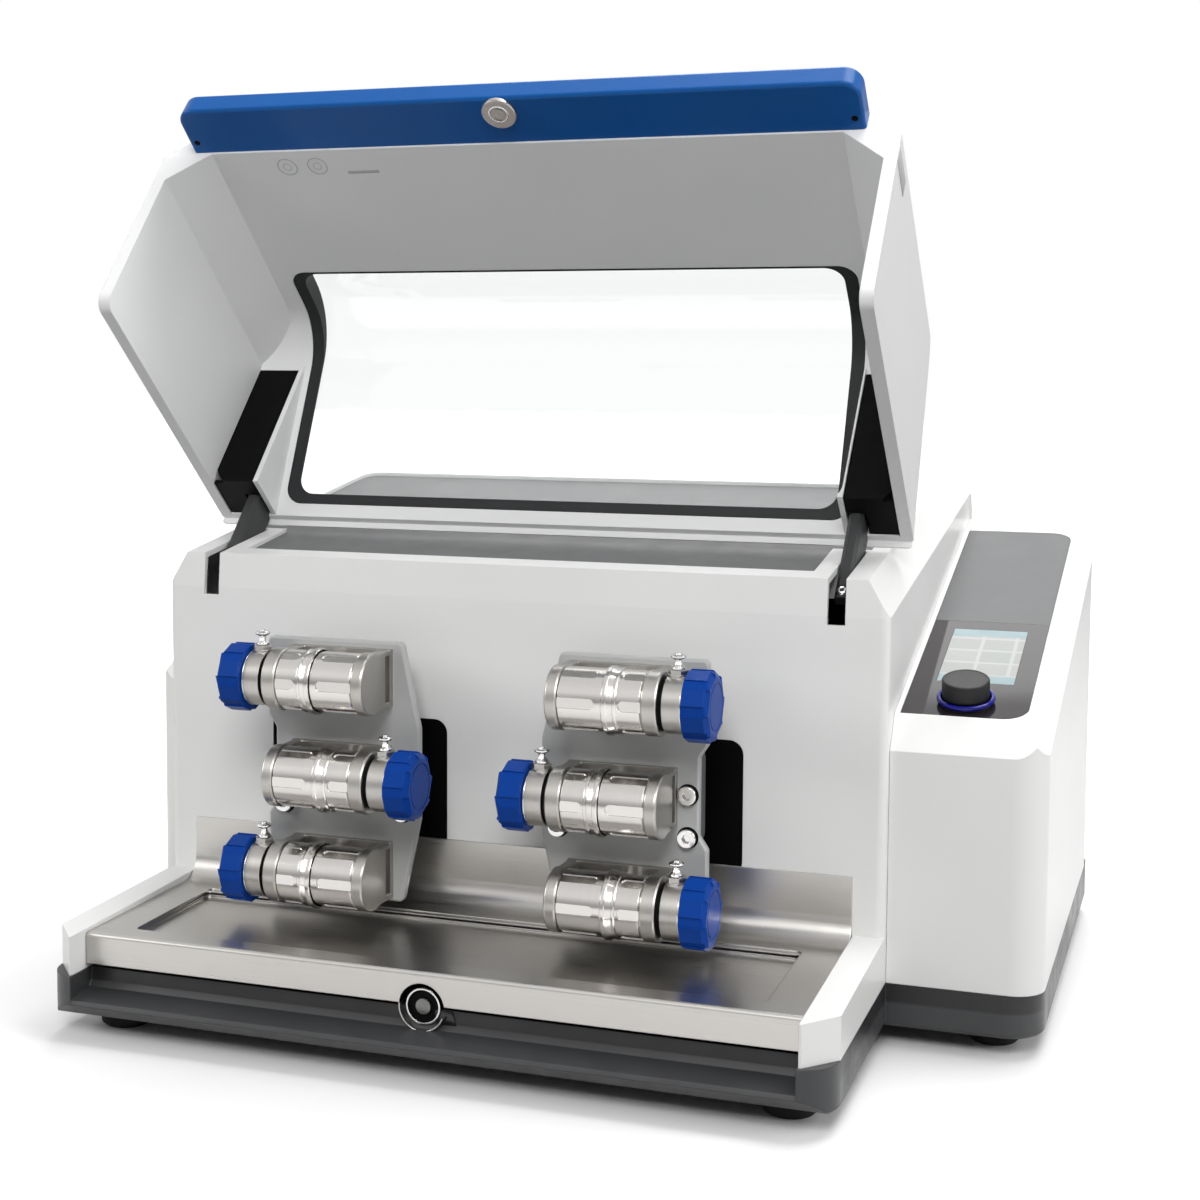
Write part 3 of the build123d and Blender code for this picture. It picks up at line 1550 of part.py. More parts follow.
def build_parts():
    parts = {}
    parts["base_pan"] = make_base_pan()
    parts["rubber_feet"] = make_feet()
    parts["main_housing"] = make_main_housing()
    parts["top_inlay"] = make_top_inlay()
    parts["wall_seals"] = make_wall_seals()
    parts["drip_tray"] = make_drip_tray()
    parts["lid_magnet"] = make_lid_magnet()
    parts["left_side_cover"] = make_side_cover()
    parts["console_housing"] = make_console_housing()
    parts["console_rear_inlay"] = make_console_rear_inlay()
    parts["display_glass"] = make_display_glass()
    parts["touch_display"] = make_touch_display()
    parts["dial_ring"] = make_dial_ring()
    parts["control_knob"] = make_control_knob()
    parts["rear_panel"] = make_rear_panel()
    parts["power_inlet"] = make_power_inlet()
    parts["mains_switch"] = make_mains_switch()
    parts["drive_frame"] = make_drive_frame()
    parts["rocker_shafts"] = make_rocker_shafts()
    parts["drive_motor"] = make_motor()
    parts["eccentric_shaft"] = make_eccentric()
    parts["hinge_pins"] = make_hinge_pins()

    parts["hood_shell"] = opened(make_hood_shell())
    parts["window_pane"] = opened(make_window_pane())
    parts["window_gasket"] = opened(make_window_gasket())
    parts["front_bar"] = opened(make_front_bar())
    parts["armature_plate"] = opened(make_armature_plate())
    hinge_arm = make_hinge_arm()
    parts["hinge_arms"] = opened(Compound([hinge_arm, mirrored(hinge_arm, middle_x)]))
    arm_cover = make_arm_cover()
    parts["arm_covers"] = opened(Compound([arm_cover, mirrored(arm_cover, middle_x)]))

    tail_heights = {"left": left_tail_z, "right": right_tail_z}
    row_names = ("top", "middle", "bottom")
    for side, pivot_x, inward in rocker_sides():
        parts["rocker_arm_" + side] = make_rocker_arm(pivot_x, inward, tail_heights[side])
        parts["holder_plate_" + side] = make_holder_plate(pivot_x, inward)
        parts["plate_screws_" + side] = make_plate_screws(pivot_x)
        brackets = []
        bodies = []
        caps = []
        for row, row_z in zip(row_names, station_rows):
            direction = -inward if row == "middle" else inward
            brackets.append(place_station(make_jar_bracket(), pivot_x, row_z, direction))
            bodies.append(place_station(make_jar_body(), pivot_x, row_z, direction))
            caps.append(place_station(make_jar_cap(), pivot_x, row_z, direction))
            tag = side + "_" + row
            parts["handwheel_" + tag] = place_station(make_handwheel(), pivot_x, row_z, direction)
            parts["clamp_pad_" + tag] = place_station(make_clamp_pad(), pivot_x, row_z, direction)
            parts["plunger_" + tag] = place_station(make_plunger(), pivot_x, row_z, direction)
        parts["jar_brackets_" + side] = Compound(brackets)
        parts["jar_bodies_" + side] = Compound(bodies)
        parts["jar_caps_" + side] = Compound(caps)
    return parts


def main():
    os.makedirs("parts", exist_ok=True)
    shift = Location((side_cover_projection - overall_width / 2, nose_length - overall_depth / 2, foot_height))
    for name, shape in build_parts().items():
        export_step(shape.moved(shift), "parts/" + name + ".step")


main()
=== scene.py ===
"""Dresses the mixer mill: studio, finishes and the pieces that give its solids their real looks."""

import json
import logging
import math
from collections.abc import Callable
from dataclasses import dataclass
from enum import Enum

import bpy
from mathutils import Matrix, Vector

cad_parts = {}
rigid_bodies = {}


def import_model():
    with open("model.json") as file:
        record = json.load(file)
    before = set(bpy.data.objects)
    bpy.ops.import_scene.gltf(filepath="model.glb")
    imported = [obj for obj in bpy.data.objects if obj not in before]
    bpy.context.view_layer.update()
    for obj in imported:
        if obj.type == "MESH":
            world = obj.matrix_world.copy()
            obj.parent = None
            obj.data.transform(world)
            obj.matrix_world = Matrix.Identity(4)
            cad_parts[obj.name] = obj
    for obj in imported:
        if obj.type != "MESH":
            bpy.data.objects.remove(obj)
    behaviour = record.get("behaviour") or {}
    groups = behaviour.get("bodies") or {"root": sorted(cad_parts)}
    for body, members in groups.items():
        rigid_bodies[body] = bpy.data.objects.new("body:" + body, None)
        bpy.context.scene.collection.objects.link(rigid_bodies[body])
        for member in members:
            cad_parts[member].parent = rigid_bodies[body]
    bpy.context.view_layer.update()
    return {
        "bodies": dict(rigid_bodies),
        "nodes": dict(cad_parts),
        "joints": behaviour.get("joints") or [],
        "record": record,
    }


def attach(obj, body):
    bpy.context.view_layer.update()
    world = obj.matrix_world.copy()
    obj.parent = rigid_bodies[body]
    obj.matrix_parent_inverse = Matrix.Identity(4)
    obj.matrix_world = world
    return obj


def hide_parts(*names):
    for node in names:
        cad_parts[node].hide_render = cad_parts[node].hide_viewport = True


LOG = logging.getLogger("mixer_mill")

MM = 0.001

# The part frame's origin, as seen from the working datum at the housing's left front corner, in mm.
DATUM_X = 307.0
DATUM_Y = 120.5
DATUM_Z = -15.0

# The range in which most of a noise pattern lies.
PATTERN_LOW = 0.3
PATTERN_HIGH = 0.7

Colour = tuple[float, float, float]
Point = tuple[float, float, float]
Profile = list[tuple[float, float]]
Socket = bpy.types.NodeSocket
Piece = bpy.types.Object
Material = bpy.types.Material
Finishes = dict[str, Material]


def at(x: float, y: float, z: float) -> Vector:
    """Turns a point in the housing's millimetres into the part frame.

    Args:
        x: Distance from the housing's left side.
        y: Distance behind the housing's front wall.
        z: Height over the underside of the base pan.

    Returns:
        The point in metres in the part frame.
    """
    return Vector((x - DATUM_X, y - DATUM_Y, z - DATUM_Z)) * MM


class Lay(Enum):
    """The direction in which a metal's grain runs."""

    ALONG_X = (3.0, 900.0, 900.0)
    ROUND_X = (2200.0, 4.0, 4.0)
    ROUND_Y = (4.0, 2200.0, 4.0)
    EVEN = (160.0, 160.0, 160.0)


class Tree:
    """A shader node tree, with short helpers to add and link nodes."""

    def __init__(self, tree: bpy.types.NodeTree) -> None:
        """Takes a material's or the world's own tree and adds its coordinates."""
        self.nodes = tree.nodes
        self.links = tree.links
        self.place = self.nodes.new("ShaderNodeTexCoord")

    def add(self, kind: str, values: dict[str, object] | None = None, **settings: object) -> bpy.types.Node:
        """Adds a node.

        Args:
            kind: The node type's name, without the ShaderNode prefix.
            values: Constants of its sockets, by the socket's name.
            settings: Properties of the node to set.

        Returns:
            The new node.
        """
        node = self.nodes.new("ShaderNode" + kind)
        for key, value in settings.items():
            setattr(node, key, value)
        for key, value in (values or {}).items():
            node.inputs[key].default_value = value
        return node

    def join(self, source: Socket, target: Socket) -> None:
        """Links one socket to another."""
        self.links.new(source, target)

    def axis(self, name: str, space: str = "Object") -> Socket:
        """Returns one coordinate, X, Y or Z, in metres of Object space or as a Generated direction."""
        node = self.add("SeparateXYZ")
        self.join(self.place.outputs[space], node.inputs["Vector"])
        return node.outputs[name]

    def between(self, value: Socket, *limits: Socket | float) -> Socket:
        """Maps a value from the first two limits onto the next two, or onto 0..1, held at both ends."""
        node = self.add("MapRange")
        self.join(value, node.inputs["Value"])
        for key, limit in zip(("From Min", "From Max", "To Min", "To Max"), limits):
            if isinstance(limit, float):
                node.inputs[key].default_value = limit
            else:
                self.join(limit, node.inputs[key])
        return node.outputs["Result"]

    def combine(self, operation: str, first: Socket, second: Socket) -> Socket:
        """Combines two values by a Math node's operation."""
        node = self.add("Math", operation=operation)
        self.join(first, node.inputs[0])
        self.join(second, node.inputs[1])
        return node.outputs[0]

    def ramp(self, source: Socket, marks: list[tuple[float, Colour]]) -> Socket:
        """Adds a colour ramp, with the position and colour of each stop, and returns its colour."""
        node = self.add("ValToRGB")
        while len(node.color_ramp.elements) < len(marks):
            node.color_ramp.elements.new(0.5)
        for element, (position, colour) in zip(node.color_ramp.elements, marks):
            element.position = position
            element.color = (*colour, 1.0)
        self.join(source, node.inputs["Fac"])
        return node.outputs["Color"]

    def mixed(self, factor: Socket, first: Socket, second: Socket) -> Socket:
        """Mixes two colour sockets by a factor."""
        node = self.add("Mix", data_type="RGBA")
        colours = [socket for socket in node.inputs if socket.type == "RGBA"]
        self.join(factor, node.inputs["Factor"])
        self.join(first, colours[0])
        self.join(second, colours[1])
        return next(socket for socket in node.outputs if socket.type == "RGBA")


class Sheet(Tree):
    """A material's node tree round one Principled shader."""

    def __init__(self, name: str) -> None:
        """Starts a material of that name."""
        self.material = bpy.data.materials.new(name)
        self.material.use_nodes = True
        super().__init__(self.material.node_tree)
        self.shader = self.nodes["Principled BSDF"]

    def set(self, **sockets: object) -> None:
        """Sets constants on the shader's own sockets; underscores stand for spaces."""
        for key, value in sockets.items():
            self.shader.inputs[key.replace("_", " ")].default_value = value

    def feed(self, socket: str, source: Socket) -> None:
        """Links a pattern to one of the shader's sockets."""
        self.join(source, self.shader.inputs[socket])

    def scaled(self, scale: Point) -> Socket:
        """Returns Object coordinates stretched by a scale for each axis."""
        mapping = self.add("Mapping", {"Scale": scale})
        self.join(self.place.outputs["Object"], mapping.inputs["Vector"])
        return mapping.outputs["Vector"]

    def noise(self, scale: Point, detail: float = 3.0, rough: float = 0.55) -> Socket:
        """Adds a noise pattern: cycles per metre on each axis, octaves and strength of the finer ones."""
        node = self.add("TexNoise", {"Scale": 1.0, "Detail": detail, "Roughness": rough})
        self.join(self.scaled(scale), node.inputs["Vector"])
        return node.outputs["Fac"]

    def spread(self, source: Socket, low: float, high: float) -> Socket:
        """Maps the range in which most of a pattern lies onto low..high."""
        return self.between(source, PATTERN_LOW, PATTERN_HIGH, low, high)

    def bump(self, height: Socket, depth_mm: float, strength: float, edge_mm: float) -> None:
        """Roughens the surface by a pattern and rounds the look of its sharp edges.

        Args:
            height: The pattern.
            depth_mm: Depth of the pattern in millimetres.
            strength: How strongly it shows.
            edge_mm: Radius that the edges seem to have, in millimetres.
        """
        node = self.add("Bump", {"Strength": strength, "Distance": depth_mm * MM})
        self.join(height, node.inputs["Height"])
        edge = self.add("Bevel", {"Radius": edge_mm * MM}, samples=6)
        self.join(edge.outputs["Normal"], node.inputs["Normal"])
        self.feed("Normal", node.outputs["Normal"])


def tint(colour: Colour, factor: float) -> Colour:
    """Returns a colour made lighter or darker by a factor, kept below 1."""
    return tuple(min(1.0, channel * factor) for channel in colour)


def stops(low: Colour, high: Colour) -> list[tuple[float, Colour]]:
    """Returns the stops of a ramp between two colours that follows a noise pattern."""
    return [(PATTERN_LOW, low), (PATTERN_HIGH, high)]


def around(colour: Colour, share: float) -> list[tuple[float, Colour]]:
    """Returns ramp stops from a colour made darker to the same made lighter by a share."""
    return stops(tint(colour, 1 - share), tint(colour, 1 + share))


@dataclass(frozen=True)
class Moulded:
    """Moulded or powder-coated surface with a fine grain and a faint unevenness of colour."""

    name: str
    colour: Colour
    roughness: float = 0.5
    spread: float = 0.06
    grain: float = 1300.0
    depth: float = 0.02
    coat: float = 0.0
    mottle: float = 0.1
    shine: float = 0.5
    edge: float = 0.8

    def make(self) -> Material:
        """Builds the material."""
        sheet = Sheet(self.name)
        sheet.set(Specular_IOR_Level=self.shine)
        cloud = sheet.noise((9.0,) * 3, 2.0)
        sheet.feed("Base Color", sheet.ramp(cloud, around(self.colour, self.mottle)))
        grain = sheet.noise((self.grain,) * 3, 2.0)
        haze = sheet.noise((46.0,) * 3, 4.0)
        half = self.spread / 2
        sheet.feed("Roughness", sheet.spread(haze, self.roughness - half, self.roughness + half))
        sheet.bump(grain, self.depth, 0.5, self.edge)
        if self.coat:
            sheet.set(Coat_Weight=self.coat, Coat_Roughness=0.12)
        return sheet.material


@dataclass(frozen=True)
class Metal:
    """Bare metal whose grain runs along or round an axis, with soft handling marks."""

    name: str
    colour: Colour
    lay: Lay
    roughness: float = 0.3
    spread: float = 0.08
    depth: float = 0.003
    smudge: float = 0.08
    edge: float = 0.4

    def make(self) -> Material:
        """Builds the material."""
        sheet = Sheet(self.name)
        sheet.set(Metallic=1.0)
        grain = sheet.noise(self.lay.value, 5.0, 0.6)
        cloud = sheet.noise((22.0,) * 3, 4.0, 0.65)
        mix = sheet.add("Mix", {"Factor": 0.35}, data_type="FLOAT")
        sheet.join(grain, mix.inputs["A"])
        sheet.join(cloud, mix.inputs["B"])
        pattern = mix.outputs["Result"]
        half = self.spread / 2
        sheet.feed("Base Color", sheet.ramp(pattern, around(self.colour, self.smudge)))
        sheet.feed("Roughness", sheet.spread(pattern, self.roughness - half, self.roughness + half))
        sheet.bump(grain, self.depth, 0.35, self.edge)
        return sheet.material


@dataclass(frozen=True)
class Casting:
    """Painted casting with a coarse sand-cast grain."""

    name: str
    colour: Colour

    def make(self) -> Material:
        """Builds the material."""
        sheet = Sheet(self.name)
        sheet.set(Metallic=0.2)
        grain = sheet.noise((420.0,) * 3, 4.0, 0.7)
        sheet.feed("Base Color", sheet.ramp(grain, around(self.colour, 0.2)))
        sheet.feed("Roughness", sheet.spread(grain, 0.45, 0.65))
        sheet.bump(grain, 0.25, 0.6, 1.0)
        return sheet.material


@dataclass(frozen=True)
class ClearSheet:
    """Clear window sheet with a faint haze of cleaning marks."""

    name: str
    colour: Colour = (0.97, 0.985, 0.985)

    def make(self) -> Material:
        """Builds the material."""
        sheet = Sheet(self.name)
        sheet.set(Base_Color=(*self.colour, 1.0), Transmission_Weight=1.0, IOR=1.45)
        marks = sheet.noise((30.0, 8.0, 12.0), 4.0)
        sheet.feed("Roughness", sheet.spread(marks, 0.01, 0.05))
        return sheet.material


@dataclass(frozen=True)
class ChannelShadePan:
    """Dark grey base pan whose front channel is coloured a deep glossy black: painted shade of the shadow
    under the front lip.
    """

    name: str
    colour: Colour = (0.036, 0.037, 0.039)
    # Painted shade: the near black colour of the front channel under the lip.
    channel: Colour = (0.006, 0.006, 0.007)
    channel_front: float = -0.2655
    channel_low: float = 0.031

    def make(self) -> Material:
        """Builds the material."""
        sheet = Sheet(self.name)
        sheet.set(Specular_IOR_Level=0.45)
        grain = sheet.noise((1100.0,) * 3, 2.0)
        cloud = sheet.noise((12.0,) * 3, 3.0)
        grey = sheet.ramp(cloud, stops(tint(self.colour, 0.9), tint(self.colour, 1.12)))
        # Painted shade: behind the front edge and above the channel's floor the pan turns near black.
        black = sheet.ramp(cloud, stops(self.channel, tint(self.channel, 1.3)))
        behind = sheet.between(sheet.axis("Y"), self.channel_front - 0.006, self.channel_front)
        above = sheet.between(sheet.axis("Z"), self.channel_low, self.channel_low + 0.002)
        inside = sheet.combine("MULTIPLY", behind, above)
        sheet.feed("Base Color", sheet.mixed(inside, grey, black))
        haze = sheet.noise((40.0,) * 3, 4.0)
        sheet.feed("Roughness", sheet.spread(haze, 0.30, 0.44))
        sheet.bump(grain, 0.05, 0.5, 1.2)
        return sheet.material


@dataclass(frozen=True)
class LitScreen:
    """Lit touch screen with two tinted bars and a faint grid of plain tiles."""

    name: str
    front: float
    rear: float
    bar: float = 0.012
    tile: Colour = (0.33, 0.335, 0.325)
    tile_dim: Colour = (0.30, 0.315, 0.305)
    gap: Colour = (0.38, 0.385, 0.375)
    bar_dim: Colour = (0.235, 0.31, 0.33)
    bar_light: Colour = (0.26, 0.33, 0.35)
    tile_width: float = 0.024
    tile_length: float = 0.0205
    tile_gap: float = 0.0016

    def make(self) -> Material:
        """Builds the material."""
        sheet = Sheet(self.name)
        layout = {
            "Scale": 1.0, "Mortar Size": self.tile_gap, "Mortar Smooth": 0.4,
            "Brick Width": self.tile_width, "Row Height": self.tile_length,
        }
        for key, colour in (("Color1", self.tile), ("Color2", self.tile_dim), ("Mortar", self.gap)):
            layout[key] = (*colour, 1.0)
        tiles = sheet.add("TexBrick", layout, offset=0.0, squash=1.0)
        shifted = sheet.add("Mapping", {"Location": (0.0035, -self.front - self.bar, 0.0)})
        sheet.join(sheet.place.outputs["Object"], shifted.inputs["Vector"])
        sheet.join(shifted.outputs["Vector"], tiles.inputs["Vector"])
        cloud = sheet.noise((60.0,) * 3, 2.0)
        tinted = sheet.ramp(cloud, stops(self.bar_dim, self.bar_light))
        along = sheet.axis("Y")
        low = sheet.between(along, self.front + self.bar, self.front + self.bar - 0.0005)
        high = sheet.between(along, self.rear - self.bar, self.rear - self.bar + 0.0005)
        bars = sheet.combine("MAXIMUM", low, high)
        face = sheet.mixed(bars, tiles.outputs["Color"], tinted)
        sheet.feed("Base Color", face)
        sheet.feed("Emission Color", face)
        sheet.set(Emission_Strength=0.12, Specular_IOR_Level=0.1)
        smears = sheet.noise((25.0, 60.0, 25.0), 4.0)
        sheet.feed("Roughness", sheet.spread(smears, 0.10, 0.2))
        return sheet.material


def make_finishes() -> Finishes:
    """Makes every finish of the mill once, by its short name."""
    recipes = {
        "shell": Moulded(
            "white_shell", (0.80, 0.80, 0.79), 0.36, 0.05, 1500.0, 0.012, 0.1, mottle=0.012, shine=0.4
        ),
        "hood": Moulded("hood_shell_white", (0.76, 0.765, 0.76), 0.42, mottle=0.015, shine=0.35),
        "base": ChannelShadePan("base_pan_grey"),
        "rubber": Moulded("foot_rubber", (0.018, 0.018, 0.018), 0.8, 0.1, 900.0, 0.08, shine=0.3),
        "seal": Moulded("seal_rubber", (0.002, 0.002, 0.0022), 0.6, 0.12, 900.0, 0.05, shine=0.04),
        "gasket": Moulded("gasket_rubber", (0.020, 0.021, 0.022), 0.5, 0.12, 900.0, 0.04, shine=0.2),
        "inlay": Moulded("deck_inlay", (0.13, 0.132, 0.134), 0.46, 0.08, 1200.0, mottle=0.04, shine=0.16),
        "glass_black": Moulded(
            "console_glass", (0.020, 0.016, 0.017), 0.06, 0.02, 300.0, 0.001, mottle=0.03, edge=0.3
        ),
        "screen": LitScreen("lit_screen", -0.0415, 0.0475),
        "blue_bar": Moulded(
            "handle_blue", (0.003, 0.082, 0.31), 0.34, 0.06, 700.0, 0.10, 0.15,
            mottle=0.05, shine=0.1, edge=1.2,
        ),
        "blue_wheel": Moulded(
            "wheel_blue", (0.002, 0.046, 0.29), 0.34, 0.06, 800.0, mottle=0.05, shine=0.1, edge=0.5
        ),
        "blue_ring": Moulded(
            "ring_blue", (0.002, 0.003, 0.20), 0.12, 0.03, 300.0, 0.001, 0.15,
            mottle=0.02, shine=0.25, edge=0.4,
        ),
        "knob": Moulded(
            "knob_black", (0.009, 0.009, 0.010), 0.45, 0.08, 1200.0, 0.03, mottle=0.08, shine=0.3
        ),
        "black": Moulded(
            "black_plastic", (0.003, 0.003, 0.0032), 0.5, 0.1, 1000.0, 0.04, mottle=0.08, shine=0.06
        ),
        "panel": Moulded("rear_panel_grey", (0.06, 0.062, 0.065), 0.5, 0.08, 1000.0, 0.05, mottle=0.05),
        "plate": Moulded(
            "plate_paint", (0.42, 0.425, 0.42), 0.38, 0.06, 900.0, 0.03, mottle=0.02, edge=1.0
        ),
        "arm": Moulded(
            "arm_dark_grey", (0.038, 0.039, 0.040), 0.42, 0.1, 800.0, 0.03, mottle=0.06, shine=0.3
        ),
        "tray": Metal("tray_steel", (0.50, 0.485, 0.465), Lay.ALONG_X, 0.30, 0.08, smudge=0.06, edge=0.8),
        "holder": Metal("holder_steel", (0.42, 0.405, 0.385), Lay.ROUND_X, 0.34, 0.08, smudge=0.06),
        "jar": Metal("jar_steel", (0.62, 0.60, 0.58), Lay.ROUND_X, 0.19, 0.05, 0.0015, 0.04, 0.25),
        "bright": Metal("bright_steel", (0.66, 0.65, 0.64), Lay.EVEN, 0.14, 0.08, 0.001, 0.06, 0.3),
        "disc": Metal("turned_disc", (0.42, 0.39, 0.37), Lay.ROUND_Y, 0.30, 0.12, 0.004, 0.12),
        "zinc": Metal("zinc_screw", (0.86, 0.86, 0.85), Lay.EVEN, 0.22, 0.08, 0.001, 0.03, 0.3),
        "core": Metal("magnet_core_steel", (0.20, 0.20, 0.195), Lay.EVEN, 0.36, 0.12, smudge=0.2, edge=0.3),
        "gloss": Moulded(
            "gloss_black", (0.006, 0.006, 0.007), 0.16, 0.05, 400.0, 0.002, mottle=0.05, edge=0.3
        ),
        "casting": Casting("drive_casting", (0.09, 0.095, 0.10)),
        "motor": Moulded("motor_paint", (0.03, 0.032, 0.035), 0.5, 0.1, 500.0, 0.1),
        "window": ClearSheet("window_clear"),
        "hood_mark": Moulded("hood_mark_grey", (0.42, 0.425, 0.43), mottle=0.02),
    }
    return {key: recipe.make() for key, recipe in recipes.items()}


NODES_BY_FINISH = {
    "base": ("base_pan",),
    "rubber": ("rubber_feet",),
    "shell": ("main_housing", "left_side_cover", "console_housing"),
    "hood": ("hood_shell",),
    "inlay": ("top_inlay", "console_rear_inlay"),
    "seal": ("wall_seals",),
    "gasket": ("window_gasket",),
    "window": ("window_pane",),
    "tray": ("drip_tray",),
    "black": ("lid_magnet", "power_inlet", "mains_switch", "arm_covers"),
    "glass_black": ("display_glass",),
    "screen": ("touch_display",),
    "blue_ring": ("dial_ring",),
    "blue_bar": ("front_bar",),
    "blue_wheel": ("handwheel",),
    "knob": ("control_knob",),
    "panel": ("rear_panel",),
    "casting": ("drive_frame", "rocker_arm"),
    "motor": ("drive_motor",),
    "bright": (
        "rocker_shafts", "eccentric_shaft", "hinge_pins", "plate_screws", "clamp_pad", "plunger",
    ),
    "disc": ("armature_plate",),
    "arm": ("hinge_arms",),
    "plate": ("holder_plate",),
    "holder": ("jar_brackets",),
    "jar": ("jar_bodies", "jar_caps"),
}


def dress_nodes(nodes: dict[str, Piece], finishes: Finishes) -> None:
    """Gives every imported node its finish.

    Args:
        nodes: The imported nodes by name; repeated ones end in their side and row.
        finishes: The made finishes.
    """
    finish_of = {node: finish for finish, group in NODES_BY_FINISH.items() for node in group}
    for name, node in nodes.items():
        stems = (name, name.rsplit("_", 1)[0], name.rsplit("_", 2)[0])
        known = [stem for stem in stems if stem in finish_of]
        if not known:
            LOG.warning("no finish for %s", name)
            continue
        node.data.materials.clear()
        node.data.materials.append(finishes[finish_of[known[0]]])


@dataclass
class Studio:
    """Floor, lamps, world light and camera."""

    camera_place: Point = (0.45562, -1.38675, 0.46433)
    camera_turn: Point = (85.377, -0.279, 19.244)
    lens: float = 57.49
    sensor: float = 36.0
    shift: tuple[float, float] = (0.0260, -0.0686)
    fill: float = 0.13
    bounce: Colour = (0.2, 0.2, 0.2)
    room: tuple[tuple[float, float], ...] = (
        (0.30, 0.55), (0.47, 0.30), (0.56, 0.45), (0.72, 1.0), (1.0, 0.9),
    )

    def build(self) -> None:
        """Sets up the whole studio."""
        self.make_camera()
        self.make_floor()
        self.make_lamps()
        self.make_world()
        bpy.context.scene.view_settings.view_transform = "Standard"

    def make_camera(self) -> None:
        """Places the camera where the photograph was taken."""
        data = bpy.data.cameras.new("camera")
        data.lens = self.lens
        data.sensor_width = self.sensor
        data.shift_x, data.shift_y = self.shift
        data.clip_start = 0.05
        data.clip_end = 60.0
        camera = bpy.data.objects.new("camera", data)
        camera.location = self.camera_place
        camera.rotation_euler = [math.radians(a) for a in self.camera_turn]
        bpy.context.collection.objects.link(camera)
        bpy.context.scene.camera = camera

    def make_floor(self) -> None:
        """Adds a pale floor that fades to white with distance and throws little light back up."""
        bpy.ops.mesh.primitive_grid_add(x_subdivisions=8, y_subdivisions=8, size=30.0, location=(0, 0, 0))
        floor = bpy.context.object
        floor.name = "studio_floor"
        sheet = Sheet("floor_white")
        sheet.set(Roughness=0.62, Emission_Color=(1.0, 1.0, 1.0, 1.0))
        cloud = sheet.noise((3.0,) * 3, 2.0)
        pale = sheet.ramp(cloud, stops((0.90,) * 3, (0.92,) * 3))
        dim = sheet.ramp(cloud, around(self.bounce, 0.02))
        path = sheet.add("LightPath").outputs
        seen = sheet.combine("MAXIMUM", path["Is Camera Ray"], path["Is Transmission Ray"])
        shown = sheet.combine("MAXIMUM", seen, path["Is Glossy Ray"])
        sheet.feed("Base Color", sheet.mixed(shown, dim, pale))
        away = sheet.add("VectorMath", operation="LENGTH")
        sheet.join(sheet.place.outputs["Object"], away.inputs[0])
        fade = sheet.between(away.outputs["Value"], 0.75, 1.7)
        sheet.feed("Emission Strength", sheet.combine("MULTIPLY", fade, seen))
        floor.data.materials.append(sheet.material)

    def make_lamps(self) -> None:
        """Adds large soft lamps: one overhead, one behind, one on each side and one high in front."""
        lamps = [
            ("lamp_top", (0.25, 0.62, 2.5), (0, 0.1, 0.2), 2.4, 1.1, 66.0),
            ("lamp_left", (-2.5, -1.5, 1.5), (0, 0, 0.25), 1.6, 1.3, 32.0),
            ("lamp_right", (2.6, -0.5, 1.5), (0, 0, 0.25), 1.8, 1.45, 38.0),
            ("lamp_front", (0.72, -2.85, 2.5), (0, 0, 0.25), 1.5, 1.2, 64.0),
            ("lamp_back", (-0.4, 2.6, 1.6), (0, 0, 0.3), 2.0, 1.6, 12.0),
        ]
        for name, place, aim, width, depth, power in lamps:
            data = bpy.data.lights.new(name, "AREA")
            data.shape = "RECTANGLE"
            data.size = width
            data.size_y = depth
            data.energy = power
            lamp = bpy.data.objects.new(name, data)
            lamp.location = place
            lamp.rotation_euler = (Vector(aim) - Vector(place)).to_track_quat("-Z", "Y").to_euler()
            bpy.context.collection.objects.link(lamp)

    def make_world(self) -> None:
        """Lights the room softly: white to camera and glass, shaded by height to metal."""
        world = bpy.data.worlds.new("studio_world")
        world.use_nodes = True
        tree = Tree(world.node_tree)
        background = tree.nodes["Background"]
        background.inputs["Color"].default_value = (1.0, 1.0, 1.0, 1.0)
        path = tree.add("LightPath").outputs
        seen = tree.combine("MAXIMUM", path["Is Camera Ray"], path["Is Transmission Ray"])
        height = tree.between(tree.axis("Z", "Generated"), -1.0, 1.0)
        levels = tree.ramp(height, [(position, (level,) * 3) for position, level in self.room])
        shine = tree.between(path["Is Glossy Ray"], 0.0, 1.0, self.fill, levels)
        tree.join(tree.between(seen, 0.0, 1.0, shine, 1.0), background.inputs["Strength"])
        bpy.context.scene.world = world


def clear_selection() -> None:
    """Leaves nothing selected and no object in edit mode."""
    if bpy.context.object is not None and bpy.context.object.mode != "OBJECT":
        bpy.ops.object.mode_set(mode="OBJECT")
    bpy.ops.object.select_all(action="DESELECT")


def pick(piece: Piece) -> None:
    """Makes a piece the only selected and the active object."""
    clear_selection()
    piece.select_set(True)
    bpy.context.view_layer.objects.active = piece


def apply_place(piece: Piece) -> None:
    """Puts a piece's place, turn and scale into its mesh."""
    pick(piece)
    bpy.ops.object.transform_apply(location=True, rotation=True, scale=True)


def block(name: str, low: Vector, high: Vector) -> Piece:
    """Adds a box from its lowest to its highest corner, with its place in its mesh."""
    clear_selection()
    bpy.ops.mesh.primitive_cube_add(size=1.0, location=(low + high) / 2, scale=high - low)
    piece = bpy.context.object
    piece.name = name
    apply_place(piece)
    return piece


